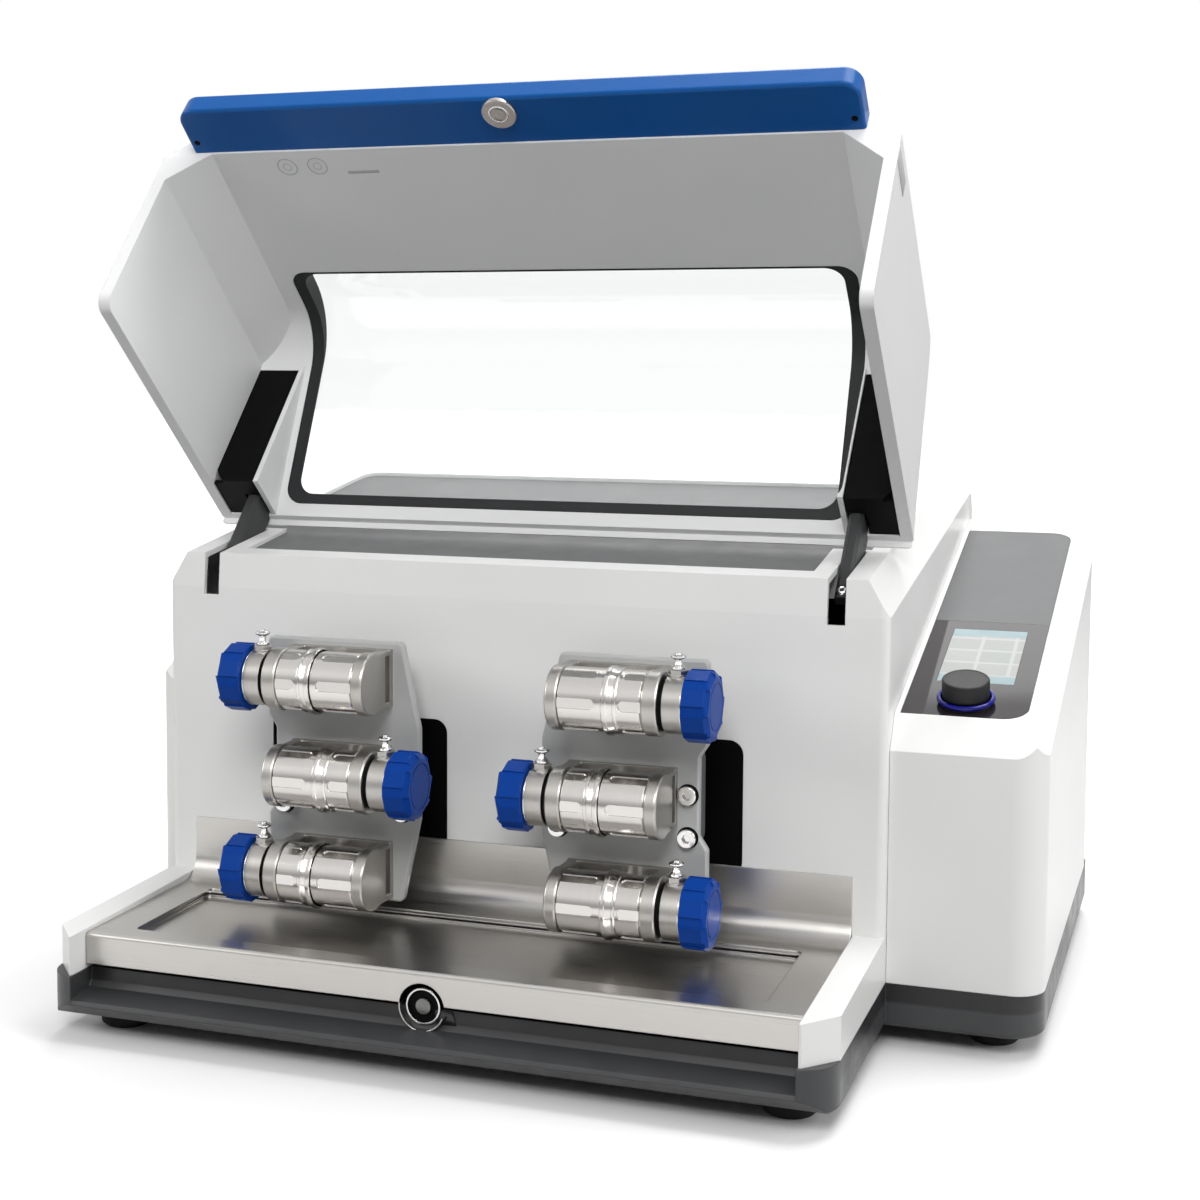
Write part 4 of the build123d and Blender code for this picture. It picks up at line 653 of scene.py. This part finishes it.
def turned(
    name: str,
    profile: Profile,
    start: Vector,
    axis: Vector,
    steps: int = 48,
    sweep: float = math.tau,
    side: Vector | None = None,
) -> Piece:
    """Extrudes a profile point by point and spins it about an axis.

    Args:
        name: Name of the piece.
        profile: Distance along the axis and radius of each point, in mm; closed or ending on the axis.
        start: The axis point that the distances start from.
        axis: Direction of the axis.
        steps: Facets in the sweep.
        sweep: Angle that the profile is spun through.
        side: Direction in which the first profile lies, any when not given.

    Returns:
        The new object, at the origin with its place in its mesh.
    """
    clear_selection()
    axis = axis.normalized()
    side = side or axis.orthogonal().normalized()
    points = [start + (axis * along + side * radius) * MM for along, radius in profile]
    bpy.ops.mesh.primitive_plane_add(size=0.0001, location=points[0])
    piece = bpy.context.object
    piece.name = name
    bpy.ops.object.transform_apply(location=True, rotation=True, scale=True)
    bpy.ops.object.mode_set(mode="EDIT")
    bpy.ops.mesh.select_all(action="SELECT")
    bpy.ops.mesh.merge(type="CENTER")
    for before, after in zip(points, points[1:]):
        bpy.ops.mesh.extrude_vertices_move(TRANSFORM_OT_translate={"value": after - before})
    bpy.ops.mesh.select_all(action="SELECT")
    bpy.ops.mesh.spin(steps=steps, angle=sweep, center=start, axis=axis)
    bpy.ops.mesh.select_all(action="SELECT")
    bpy.ops.mesh.remove_doubles(threshold=0.000005)
    if sweep < math.tau:
        bpy.ops.mesh.fill_holes(sides=0)
    bpy.ops.mesh.normals_make_consistent(inside=False)
    bpy.ops.object.mode_set(mode="OBJECT")
    return piece


def bevel(piece: Piece, width: float, segments: int = 2, angle: float = 35.0) -> None:
    """Rounds every edge sharper than an angle.

    Args:
        piece: The object.
        width: Width of the rounding in mm.
        segments: Facets across it.
        angle: Smallest angle between faces that gets it, in degrees.
    """
    pick(piece)
    modifier = piece.modifiers.new("edge", "BEVEL")
    modifier.width = width * MM
    modifier.segments = segments
    modifier.limit_method = "ANGLE"
    modifier.angle_limit = math.radians(angle)
    bpy.ops.object.modifier_apply(modifier=modifier.name)


def reshape(piece: Piece, move: Callable[[Vector], Vector]) -> None:
    """Moves each vertex of a piece by a rule."""
    for vertex in piece.data.vertices:
        vertex.co = move(vertex.co.copy())
    piece.data.update()


def copied(piece: Piece, name: str, matrix: Matrix) -> Piece:
    """Copies a master with its own mesh and moves the mesh by a matrix."""
    copy = piece.copy()
    copy.data = piece.data.copy()
    copy.name = name
    copy.data.transform(matrix)
    bpy.context.collection.objects.link(copy)
    return copy


def joined(name: str, parts: list[Piece]) -> Piece:
    """Joins several objects into one piece."""
    clear_selection()
    for part in parts:
        part.select_set(True)
    bpy.context.view_layer.objects.active = parts[0]
    bpy.ops.object.join()
    parts[0].name = name
    return parts[0]


def hand_over(
    piece: Piece,
    finish: Material,
    body: str,
    replaces: tuple[str, ...] = (),
    smooth: float = 32.0,
) -> None:
    """Gives a finished piece its finish and the body that it rides on.

    Args:
        piece: The object.
        finish: Its material.
        body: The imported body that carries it.
        replaces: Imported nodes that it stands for.
        smooth: Edges flatter than this angle are shaded smooth, in degrees.
    """
    pick(piece)
    bpy.ops.object.shade_smooth_by_angle(angle=math.radians(smooth))
    piece.data.materials.clear()
    piece.data.materials.append(finish)
    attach(piece, body)
    if replaces:
        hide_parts(*replaces)
    LOG.info("made %s", piece.name)


@dataclass
class Station:
    """One of the six clamp stations: where its jar axis lies and which way its handwheel points."""

    side: str
    row: str
    x: float
    z: float
    outward: int

    @property
    def tag(self) -> str:
        """The name of the station's side and row."""
        return f"{self.side}_{self.row}"

    def matrix(self) -> Matrix:
        """Turns a piece modelled at the origin, with its handwheel towards -X, to this station."""
        turn = Matrix.Identity(4) if self.outward < 0 else Matrix.Rotation(math.pi, 4, "Z")
        return Matrix.Translation(at(self.x, Stations.axis_y, self.z)) @ turn


@dataclass
class Stations:
    """The clamp stations on both rockers. Distances along a jar's axis grow away from its handwheel."""

    axis_y = -67.0
    centre_x: float = 268.3
    offset: float = 105.3
    rows: tuple[tuple[str, float], ...] = (("top", 225.8), ("middle", 156.6), ("bottom", 87.4))
    wheel_radius: float = 24.6
    wheel_rear: float = -55.1
    wheel_length: float = 18.4
    flat: float = 23.4
    notch_floor: float = 22.9
    notch_half_width: float = 3.5
    pressed_from: float = 17.0
    lobes: int = 8
    notch_steps: int = 5
    flat_steps: int = 6
    spindle_start: float = -55.4
    sleeve_start: float = -54.8
    sleeve_radius: float = 19.5
    groove_start: float = -41.5
    groove_width: float = 3.2
    groove_radius: float = 17.2
    jar_split: float = -1.0
    plate_y: float = -36.0
    screw_x: float = 46.4
    screw_rows: tuple[float, ...] = (158.8, 129.4)
    screw_radius: float = 6.5

    def all(self) -> list[Station]:
        """Lists the six stations."""
        found = []
        for side, outer in (("left", -1), ("right", 1)):
            x = self.centre_x + outer * self.offset
            for row, z in self.rows:
                found.append(Station(side, row, x, z, -outer if row == "middle" else outer))
        return found

    def build(self, finishes: Finishes) -> None:
        """Models one of each piece and copies it to every station."""
        masters = [
            (self.make_wheel(), "wheel_grip", "blue_wheel", "wheel_blue"),
            (self.make_spindle(), "spindle", "bright", "bright_steel"),
            (self.make_sleeve_rim(), "sleeve_rim", "bright", "bright_steel"),
            # Painted shade: a black ring at the bottom of the groove.
            (self.make_groove_shade_ring(), "groove_floor", "black", "black_plastic"),
            (self.make_seal_ring(), "jar_seal", "seal", "seal"),
        ]
        for station in self.all():
            for master, name, finish, slot in masters:
                piece = copied(master, f"{name}_{station.tag}", station.matrix())
                turning = name in ("wheel_grip", "spindle")
                body = f"wheel_{station.tag}" if turning else f"rocker_{station.side}"
                replaces = (f"handwheel_{station.tag}",) if name == "wheel_grip" else ()
                smooth = 12.0 if replaces else 32.0
                hand_over(piece, finishes[finish], body, replaces, smooth)
        for master, *_ in masters:
            bpy.data.objects.remove(master)
        # Painted shade: black rings where the screw recesses lie in shadow.
        self.make_screw_shade_rings(finishes)

    def rim_angles(self) -> list[float]:
        """Lists the angles of the rim's points: in each lobe the notch and then the flat."""
        half = math.asin(self.notch_half_width / self.wheel_radius)
        period = math.tau / self.lobes
        wall = 0.002
        found = []
        for lobe in range(self.lobes):
            start = lobe * period
            for step in range(self.notch_steps):
                found.append(start - half + 2 * half * step / (self.notch_steps - 1))
            for step in range(self.flat_steps):
                share = step / (self.flat_steps - 1)
                found.append(start + half + wall + (period - 2 * half - 2 * wall) * share)
        return found

    def make_wheel(self) -> Piece:
        """Turns the blue handwheel and presses its flats and notches."""
        radius, length = self.wheel_radius, self.wheel_length
        profile = [
            (0.0, 0.0), (0.0, 12.0), (0.0, radius - 1.0), (0.3, radius - 0.35), (1.0, radius),
            (length - 3.0, radius), (length - 2.7, radius - 0.3), (length - 1.5, radius - 2.4),
            (length - 0.25, radius - 4.4), (length, radius - 4.9), (length, 16.5), (length - 0.6, 16.4),
            (length - 0.6, 15.5), (length, 15.4), (length, 8.0), (length, 0.0),
        ]
        start = Vector((self.wheel_rear * MM, 0, 0))
        angles = self.rim_angles()
        wheel = turned("wheel_master", profile, start, Vector((-1, 0, 0)), len(angles))
        period = math.tau / self.lobes
        per_lobe = self.notch_steps + self.flat_steps

        def pressed(point: Vector) -> Vector:
            """Moves a point of the round blank onto the rim's outline."""
            reach = math.hypot(point.y, point.z) / MM
            if reach < 0.1:
                return point
            index = round(math.atan2(point.z, point.y) / math.tau * len(angles)) % len(angles)
            angle = angles[index]
            lobe, step = divmod(index, per_lobe)
            if reach > self.pressed_from:
                from_notch = angle - lobe * period
                face = self.flat / math.cos(from_notch - period / 2)
                outline = self.notch_floor / math.cos(from_notch) if step < self.notch_steps else face
                reach = min(outline, face * reach / self.wheel_radius)
            return Vector((point.x, reach * MM * math.cos(angle), reach * MM * math.sin(angle)))

        reshape(wheel, pressed)
        return wheel

    def make_spindle(self) -> Piece:
        """Turns the clamp spindle with its neck, its round thread and its stub."""
        profile = [(0.0, 0.0), (0.0, 6.9), (0.9, 6.95), (1.4, 5.5), (14.4, 5.5), (14.9, 6.9)]
        along = 15.4
        while along < 22.0:
            profile += [(along, 6.95), (along + 0.5, 6.5)]
            along += 1.0
        profile += [(22.8, 6.9), (22.8, 4.0), (25.1, 3.9), (25.4, 3.6), (25.4, 0.0)]
        return self.ring_master("spindle_master", profile, self.spindle_start, 40)

    @staticmethod
    def ring_master(name: str, profile: Profile, start: float, steps: int) -> Piece:
        """Turns a profile about a jar's axis, from a distance along it in mm."""
        return turned(name, profile, Vector((start * MM, 0, 0)), Vector((1, 0, 0)), steps)

    def make_sleeve_rim(self) -> Piece:
        """Turns the polished rim at the end of the sleeve, next to the handwheel; its brighter steel is
        partly a painted highlight on the sleeve's rounded edge.
        """
        r = self.sleeve_radius
        profile = [
            (-0.05, r - 2.0), (-0.05, r - 0.5), (0.15, r), (0.45, r + 0.25), (1.1, r + 0.25),
            (1.35, r + 0.05), (1.35, r - 2.0), (-0.05, r - 2.0),
        ]
        return self.ring_master("rim_master", profile, self.sleeve_start, 64)

    def make_groove_shade_ring(self) -> Piece:
        """Turns the black ring at the bottom of the groove between sleeve and flange: painted shade that
        makes the groove look deep.
        """
        r, w = self.groove_radius, self.groove_width
        profile = [
            (0.05, r - 0.3), (0.05, r + 0.9), (0.3, r + 0.5), (w - 0.3, r + 0.5),
            (w - 0.05, r + 0.9), (w - 0.05, r - 0.3), (0.05, r - 0.3),
        ]
        return self.ring_master("groove_shade_master", profile, self.groove_start, 56)

    def make_seal_ring(self) -> Piece:
        """Turns the dark ring in the joint between jar and cap."""
        profile = [(0.0, 20.2), (0.0, 21.8), (0.2, 22.0), (0.2, 20.2), (0.0, 20.2)]
        return self.ring_master("seal_master", profile, self.jar_split, 64)

    def make_screw_shade_rings(self, finishes: Finishes) -> None:
        """Adds dark rings round the plate screws, painted shade of the recesses in which they sit, one
        piece for each holder plate.
        """
        r = self.screw_radius
        profile = [
            (0.0, r + 0.05), (0.0, r + 1.0), (0.3, r + 0.95), (0.45, r + 0.7), (0.45, r + 0.05),
            (0.0, r + 0.05),
        ]
        for side, x in (("left", self.centre_x - self.offset), ("right", self.centre_x + self.offset)):
            places = [(x + dx, z) for dx in (-self.screw_x, self.screw_x) for z in self.screw_rows]
            rings = [
                turned("ring", profile, at(across, self.plate_y, z), Vector((0, -1, 0)), 40)
                for across, z in places
            ]
            piece = joined(f"screw_shade_rings_{side}", rings)
            hand_over(piece, finishes["black"], f"rocker_{side}")


@dataclass
class Latch:
    """The magnet that holds the hood shut, the notch round it and its counter plate on the hood."""

    x: float = 274.0
    z: float = 31.5
    face_y: float = -148.2
    magnet_radius: float = 12.0
    core_radius: float = 5.5
    notch_radius: float = 16.0
    lip_y: float = -151.0
    lip_bottom: float = 33.5
    disc_face_y: float = -148.6
    tab_x: tuple[float, float] = (8.0, 23.0)
    tab_y: tuple[float, float] = (-146.6, -145.4)
    tab_z: tuple[float, float] = (20.4, 29.6)
    tab_cut: float = 3.5

    def build(self, finishes: Finishes) -> None:
        """Builds the latch's details."""
        back = Vector((0, 1, 0))
        face = at(self.x, self.face_y, self.z)
        r = self.magnet_radius
        rim = [
            (-0.1, r - 1.1), (-0.12, r - 0.9), (-0.12, r - 0.3), (0.0, r + 0.05), (1.2, r + 0.08),
            (1.2, r - 1.1), (-0.1, r - 1.1),
        ]
        piece = turned("magnet_rim", rim, face, back, 72)
        hand_over(piece, finishes["bright"], "base")
        c = self.core_radius
        core = [(-0.08, 0.0), (-0.08, c - 0.5), (0.15, c + 0.02), (1.0, c + 0.02), (1.0, 0.0)]
        piece = turned("magnet_core", core, face, back, 48)
        hand_over(piece, finishes["core"], "base")
        self.make_liner(finishes)
        self.make_tab(finishes)
        self.make_hub(finishes)

    def make_liner(self, finishes: Finishes) -> None:
        """Adds the half-round sleeve behind the notch in the tray's front edge."""
        r = self.notch_radius
        tilt = math.asin((self.lip_bottom - self.z) / r)
        side = Vector((-math.cos(tilt), 0, math.sin(tilt)))
        profile = [
            (-0.2, r - 0.75), (-0.2, r + 0.05), (0.1, r + 0.3), (0.1, r - 0.05), (9.0, r - 0.05),
            (9.0, r - 0.75), (-0.2, r - 0.75),
        ]
        centre = at(self.x, self.lip_y, self.z)
        sweep = math.pi - 2 * tilt
        liner = turned("notch_liner", profile, centre, Vector((0, 1, 0)), 40, sweep, side)
        hand_over(liner, finishes["tray"], "base")

    def make_tab(self, finishes: Finishes) -> None:
        """Adds the small black tab with a cut corner at the magnet's right."""
        low = at(self.x + self.tab_x[0], self.tab_y[0], self.tab_z[0])
        high = at(self.x + self.tab_x[1], self.tab_y[1], self.tab_z[1])
        tab = block("magnet_tab", low, high)
        corner = high.copy()

        def cut(point: Vector) -> Vector:
            """Draws the upper right corner in."""
            if point.x > corner.x - 0.0001 and point.z > corner.z - 0.0001:
                return Vector((point.x - self.tab_cut * MM, point.y, point.z))
            return point

        reshape(tab, cut)
        bevel(tab, 0.25, 2)
        hand_over(tab, finishes["gloss"], "base")

    def make_hub(self, finishes: Finishes) -> None:
        """Adds the turned ridge and the screw's collar on the counter plate."""
        face = at(self.x, self.disc_face_y, self.z)
        profile = [
            (-1.0, 6.05), (0.12, 6.05), (0.18, 6.3), (0.18, 7.0), (0.05, 7.3), (-0.1, 7.4),
            (-1.0, 7.4), (-1.0, 6.05),
        ]
        hub = turned("armature_ridge", profile, face, Vector((0, 1, 0)), 48)
        Hood().opened(hub)
        hand_over(hub, finishes["bright"], "lid")


@dataclass
class ControlDial:
    """The console's control knob with its glossy ring."""

    x: float = 593.0
    y: float = 47.6
    slope: float = 0.284
    top_y: float = 23.1
    top_z: float = 212.6
    drop: float = 0.6
    radius: float = 16.2
    height: float = 18.0
    ring_radius: float = 19.8
    ring_bore: float = 17.0
    ring_height: float = 5.5

    def build(self, finishes: Finishes) -> None:
        """Turns the knob with a fine line round its top, and the ring on its black neck."""
        lean = math.sqrt(1 + self.slope**2)
        axis = Vector((0, -self.slope, 1)) / lean
        surface = at(self.x, self.y, self.top_z + self.slope * (self.y - self.top_y))
        start = surface - axis * (self.drop / lean) * MM
        h, r = self.height, self.radius
        profile = [
            (-8.7, 0.0), (-8.7, 2.9), (0.35, 2.9), (0.35, 15.2), (5.4, 15.3), (5.6, r - 0.35),
            (5.9, r - 0.15), (h - 1.6, r), (h - 1.2, r - 0.05), (h - 0.45, r - 0.45), (h - 0.1, r - 1.0),
            (h, r - 1.6),
            (h - 0.02, r - 2.0), (h - 0.25, r - 2.15), (h - 0.3, r - 2.5), (h - 0.2, r - 2.7),
            (h - 0.55, 7.0), (h - 0.6, 0.0),
        ]
        knob = turned("dial_grip", profile, start, axis, 96)
        hand_over(knob, finishes["knob"], "knob", ("control_knob",), 24.0)
        outer, bore, top = self.ring_radius, self.ring_bore, self.ring_height
        ring = [
            (1.9, bore + 0.05), (1.9, outer - 1.9), (2.1, outer - 0.9), (2.6, outer - 0.25), (3.3, outer),
            (top - 1.2, outer), (top - 0.5, outer - 0.3), (top - 0.1, outer - 0.9), (top, outer - 1.5),
            (top - 0.2, bore + 0.4), (top - 0.6, bore + 0.05), (1.9, bore + 0.05),
        ]
        bezel = turned("dial_bezel", ring, start, axis, 96)
        hand_over(bezel, finishes["blue_ring"], "base", ("dial_ring",), 30.0)
        neck = [
            (0.02, bore + 0.05), (0.02, outer - 2.2), (0.3, outer - 2.4), (1.95, outer - 2.4),
            (1.95, bore + 0.05), (0.02, bore + 0.05),
        ]
        collar = turned("dial_neck", neck, start, axis, 72)
        hand_over(collar, finishes["knob"], "base")


@dataclass
class Hood:
    """Small pieces on the hood, modelled with the hood closed and then swung open."""

    hinge_y: float = 46.25
    hinge_z: float = 296.64
    open_angle: float = 132.75
    width: float = 548.0
    overhang: float = 1.3
    front_inner_y: float = -150.0
    bar_rear_y: float = -151.6
    slot_centre: float = 36.3
    arm_low_z: float = 278.0
    stop_screw_y: float = 65.5
    mark_x: tuple[float, float] = (94.5, 119.0)
    mark_z: float = 73.5
    groove_x: tuple[float, float] = (141.5, 166.5)
    groove_z: tuple[float, float] = (78.6, 81.6)
    buffer_inset: float = 29.0
    buffer_z: float = 49.0
    grip_half: float = 0.35
    grip_y: tuple[float, float] = (-137.0, -122.0)
    grip_z: tuple[float, float] = (61.0, 92.0)

    def opened(self, piece: Piece) -> None:
        """Swings a piece about the hinge pins to the open rest pose."""
        hinge = at(0.0, self.hinge_y, self.hinge_z)
        turn = Matrix.Rotation(-math.radians(self.open_angle), 4, "X")
        piece.data.transform(Matrix.Translation(hinge) @ turn @ Matrix.Translation(-hinge))

    def build(self, finishes: Finishes) -> None:
        """Builds every small piece of the hood."""
        self.make_mould_marks(finishes)
        self.make_bumpers(finishes)
        self.make_side_grip_shades(finishes)
        self.make_stop_screws(finishes)

    def make_mould_marks(self, finishes: Finishes) -> None:
        """Adds the bare mould marks inside the front panel: two round dials and a rounded slot."""
        dial = [
            (-0.3, 0.0), (-0.3, 7.9), (0.12, 7.9), (0.16, 7.6), (0.12, 7.2), (-0.05, 7.1), (-0.05, 3.4),
            (0.1, 3.3), (0.1, 2.9), (-0.05, 2.8), (-0.05, 0.0),
        ]
        for index, x in enumerate(self.mark_x):
            centre = at(x, self.front_inner_y, self.mark_z)
            mark = turned(f"mould_mark_{index + 1}", dial, centre, Vector((0, 1, 0)), 48)
            self.opened(mark)
            hand_over(mark, finishes["hood_mark"], "lid")
        low = at(self.groove_x[0], self.front_inner_y - 0.3, self.groove_z[0])
        high = at(self.groove_x[1], self.front_inner_y + 0.12, self.groove_z[1])
        slot = block("mould_mark_3", low, high)
        bevel(slot, 1.3, 4)
        self.opened(slot)
        hand_over(slot, finishes["hood_mark"], "lid")

    def make_bumpers(self, finishes: Finishes) -> None:
        """Adds the small black buffers near the ends of the handle bar."""
        profile = [(-0.3, 0.0), (-0.3, 2.3), (0.15, 2.3), (0.38, 1.9), (0.45, 0.0)]
        for side, x in (("left", self.buffer_inset), ("right", self.width - self.buffer_inset)):
            foot = at(x, self.bar_rear_y, self.buffer_z)
            buffer = turned(f"bar_buffer_{side}", profile, foot, Vector((0, 1, 0)), 28)
            self.opened(buffer)
            hand_over(buffer, finishes["seal"], "lid")

    def make_side_grip_shades(self, finishes: Finishes) -> None:
        """Adds grey strips on the hood's outer sides where the finger grips lie: painted shade of the grip
        recesses.
        """
        for side, x in (("left", -self.overhang), ("right", self.width + self.overhang)):
            low = at(x - self.grip_half, self.grip_y[0], self.grip_z[0])
            high = at(x + self.grip_half, self.grip_y[1], self.grip_z[1])
            strip = block(f"side_grip_shade_{side}", low, high)
            bevel(strip, 0.25, 2)
            self.opened(strip)
            # Painted shade: the strip's grey stands for the shaded finger recess.
            hand_over(strip, finishes["hood_mark"], "lid")

    def make_stop_screws(self, finishes: Finishes) -> None:
        """Adds domed, bright stop screws with a socket at the lower ends of the hinge arms."""
        profile = [
            (0.0, 0.0), (0.0, 3.55), (0.8, 3.6), (1.35, 3.3), (1.75, 2.6), (1.85, 1.5), (1.1, 1.4),
            (1.1, 0.0),
        ]
        for side, x in (("left", self.slot_centre), ("right", self.width - self.slot_centre)):
            foot = at(x, self.stop_screw_y, self.arm_low_z)
            screw = turned(f"stop_screw_{side}", profile, foot, Vector((0, 0, -1)), 36)
            self.opened(screw)
            hand_over(screw, finishes["zinc"], "lid")


@dataclass
class RearDetails:
    """Screws, fan guard and inlet frame on the rear panel."""

    rear_y: float = 413.0
    panel: tuple[float, float, float, float] = (60.0, 490.0, 52.0, 270.0)
    screw_inset: tuple[float, float] = (10.0, 9.0)
    guard_x: float = 340.0
    guard_z: float = 190.0
    guard_rings: tuple[float, ...] = (12.0, 22.0, 32.0, 42.0, 50.0)
    wire: float = 0.9
    spoke: float = 43.0
    inlet_x: float = 440.0
    inlet_z: float = 86.0

    def build(self, finishes: Finishes) -> None:
        """Builds the rear details."""
        x0, x1, z0, z1 = self.panel
        screw = self.make_screw()
        dx, dz = self.screw_inset
        places = [(x, z) for x in (x0 + dx, (x0 + x1) / 2, x1 - dx) for z in (z0 + dz, z1 - dz)]
        for index, (x, z) in enumerate(places):
            place = Matrix.Translation(at(x, self.rear_y, z))
            copy = copied(screw, f"panel_screw_{index + 1}", place)
            hand_over(copy, finishes["bright"], "base")
        bpy.data.objects.remove(screw)
        self.make_fan_guard(finishes)
        self.make_inlet_frame(finishes)

    def make_screw(self) -> Piece:
        """Turns a flat-domed screw head with a socket."""
        profile = [
            (-0.5, 0), (-0.5, 3.4), (0.4, 3.6), (1.2, 3.2), (1.8, 2.0), (1.8, 1.5), (0.7, 1.4), (0.7, 0),
        ]
        return turned("screw_master", profile, Vector((0, 0, 0)), Vector((0, 1, 0)), 24)

    def make_fan_guard(self, finishes: Finishes) -> None:
        """Adds wire rings and spokes over the fan on the rear panel."""
        x, z, wire = self.guard_x, self.guard_z, self.wire
        inner = self.guard_rings[0]
        parts = []
        for radius in self.guard_rings:
            bpy.ops.mesh.primitive_torus_add(
                major_radius=radius * MM, minor_radius=wire * MM, major_segments=56, minor_segments=8,
                location=at(x, self.rear_y + wire, z), rotation=(math.pi / 2, 0, 0),
            )
            parts.append(bpy.context.object)
            apply_place(parts[-1])
        for index in range(4):
            angle = math.pi / 4 + index * math.pi / 2
            start = at(x + inner * math.cos(angle), self.rear_y + wire, z + inner * math.sin(angle))
            run = Vector((math.cos(angle), 0, math.sin(angle)))
            profile = [(0, 0), (0, wire), (self.spoke, wire), (self.spoke, 0)]
            parts.append(turned("spoke", profile, start, run, 8))
        guard = joined("fan_guard", parts)
        hand_over(guard, finishes["bright"], "base")

    def make_inlet_frame(self, finishes: Finishes) -> None:
        """Adds the raised frame round the appliance inlet."""
        low = at(self.inlet_x - 25.0, self.rear_y - 0.2, self.inlet_z - 15.0)
        high = at(self.inlet_x + 25.0, self.rear_y + 1.6, self.inlet_z + 15.0)
        frame = block("inlet_frame", low, high)
        bevel(frame, 0.8, 2)
        cutter = block(
            "cutter", at(self.inlet_x - 12.0, self.rear_y - 4.0, self.inlet_z - 9.0),
            at(self.inlet_x + 12.0, self.rear_y + 4.0, self.inlet_z + 9.0),
        )
        modifier = frame.modifiers.new("opening", "BOOLEAN")
        modifier.object = cutter
        modifier.operation = "DIFFERENCE"
        modifier.solver = "EXACT"
        pick(frame)
        bpy.ops.object.modifier_apply(modifier=modifier.name)
        bpy.data.objects.remove(cutter)
        hand_over(frame, finishes["black"], "base")


def main() -> None:
    """Builds the studio, the finishes and the pieces in order."""
    logging.basicConfig(level=logging.INFO, format="%(name)s: %(message)s")
    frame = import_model()
    bpy.ops.object.select_all(action="DESELECT")
    Studio().build()
    finishes = make_finishes()
    dress_nodes(frame["nodes"], finishes)
    Stations().build(finishes)
    Latch().build(finishes)
    ControlDial().build(finishes)
    Hood().build(finishes)
    RearDetails().build(finishes)


if __name__ == "__main__":
    main()
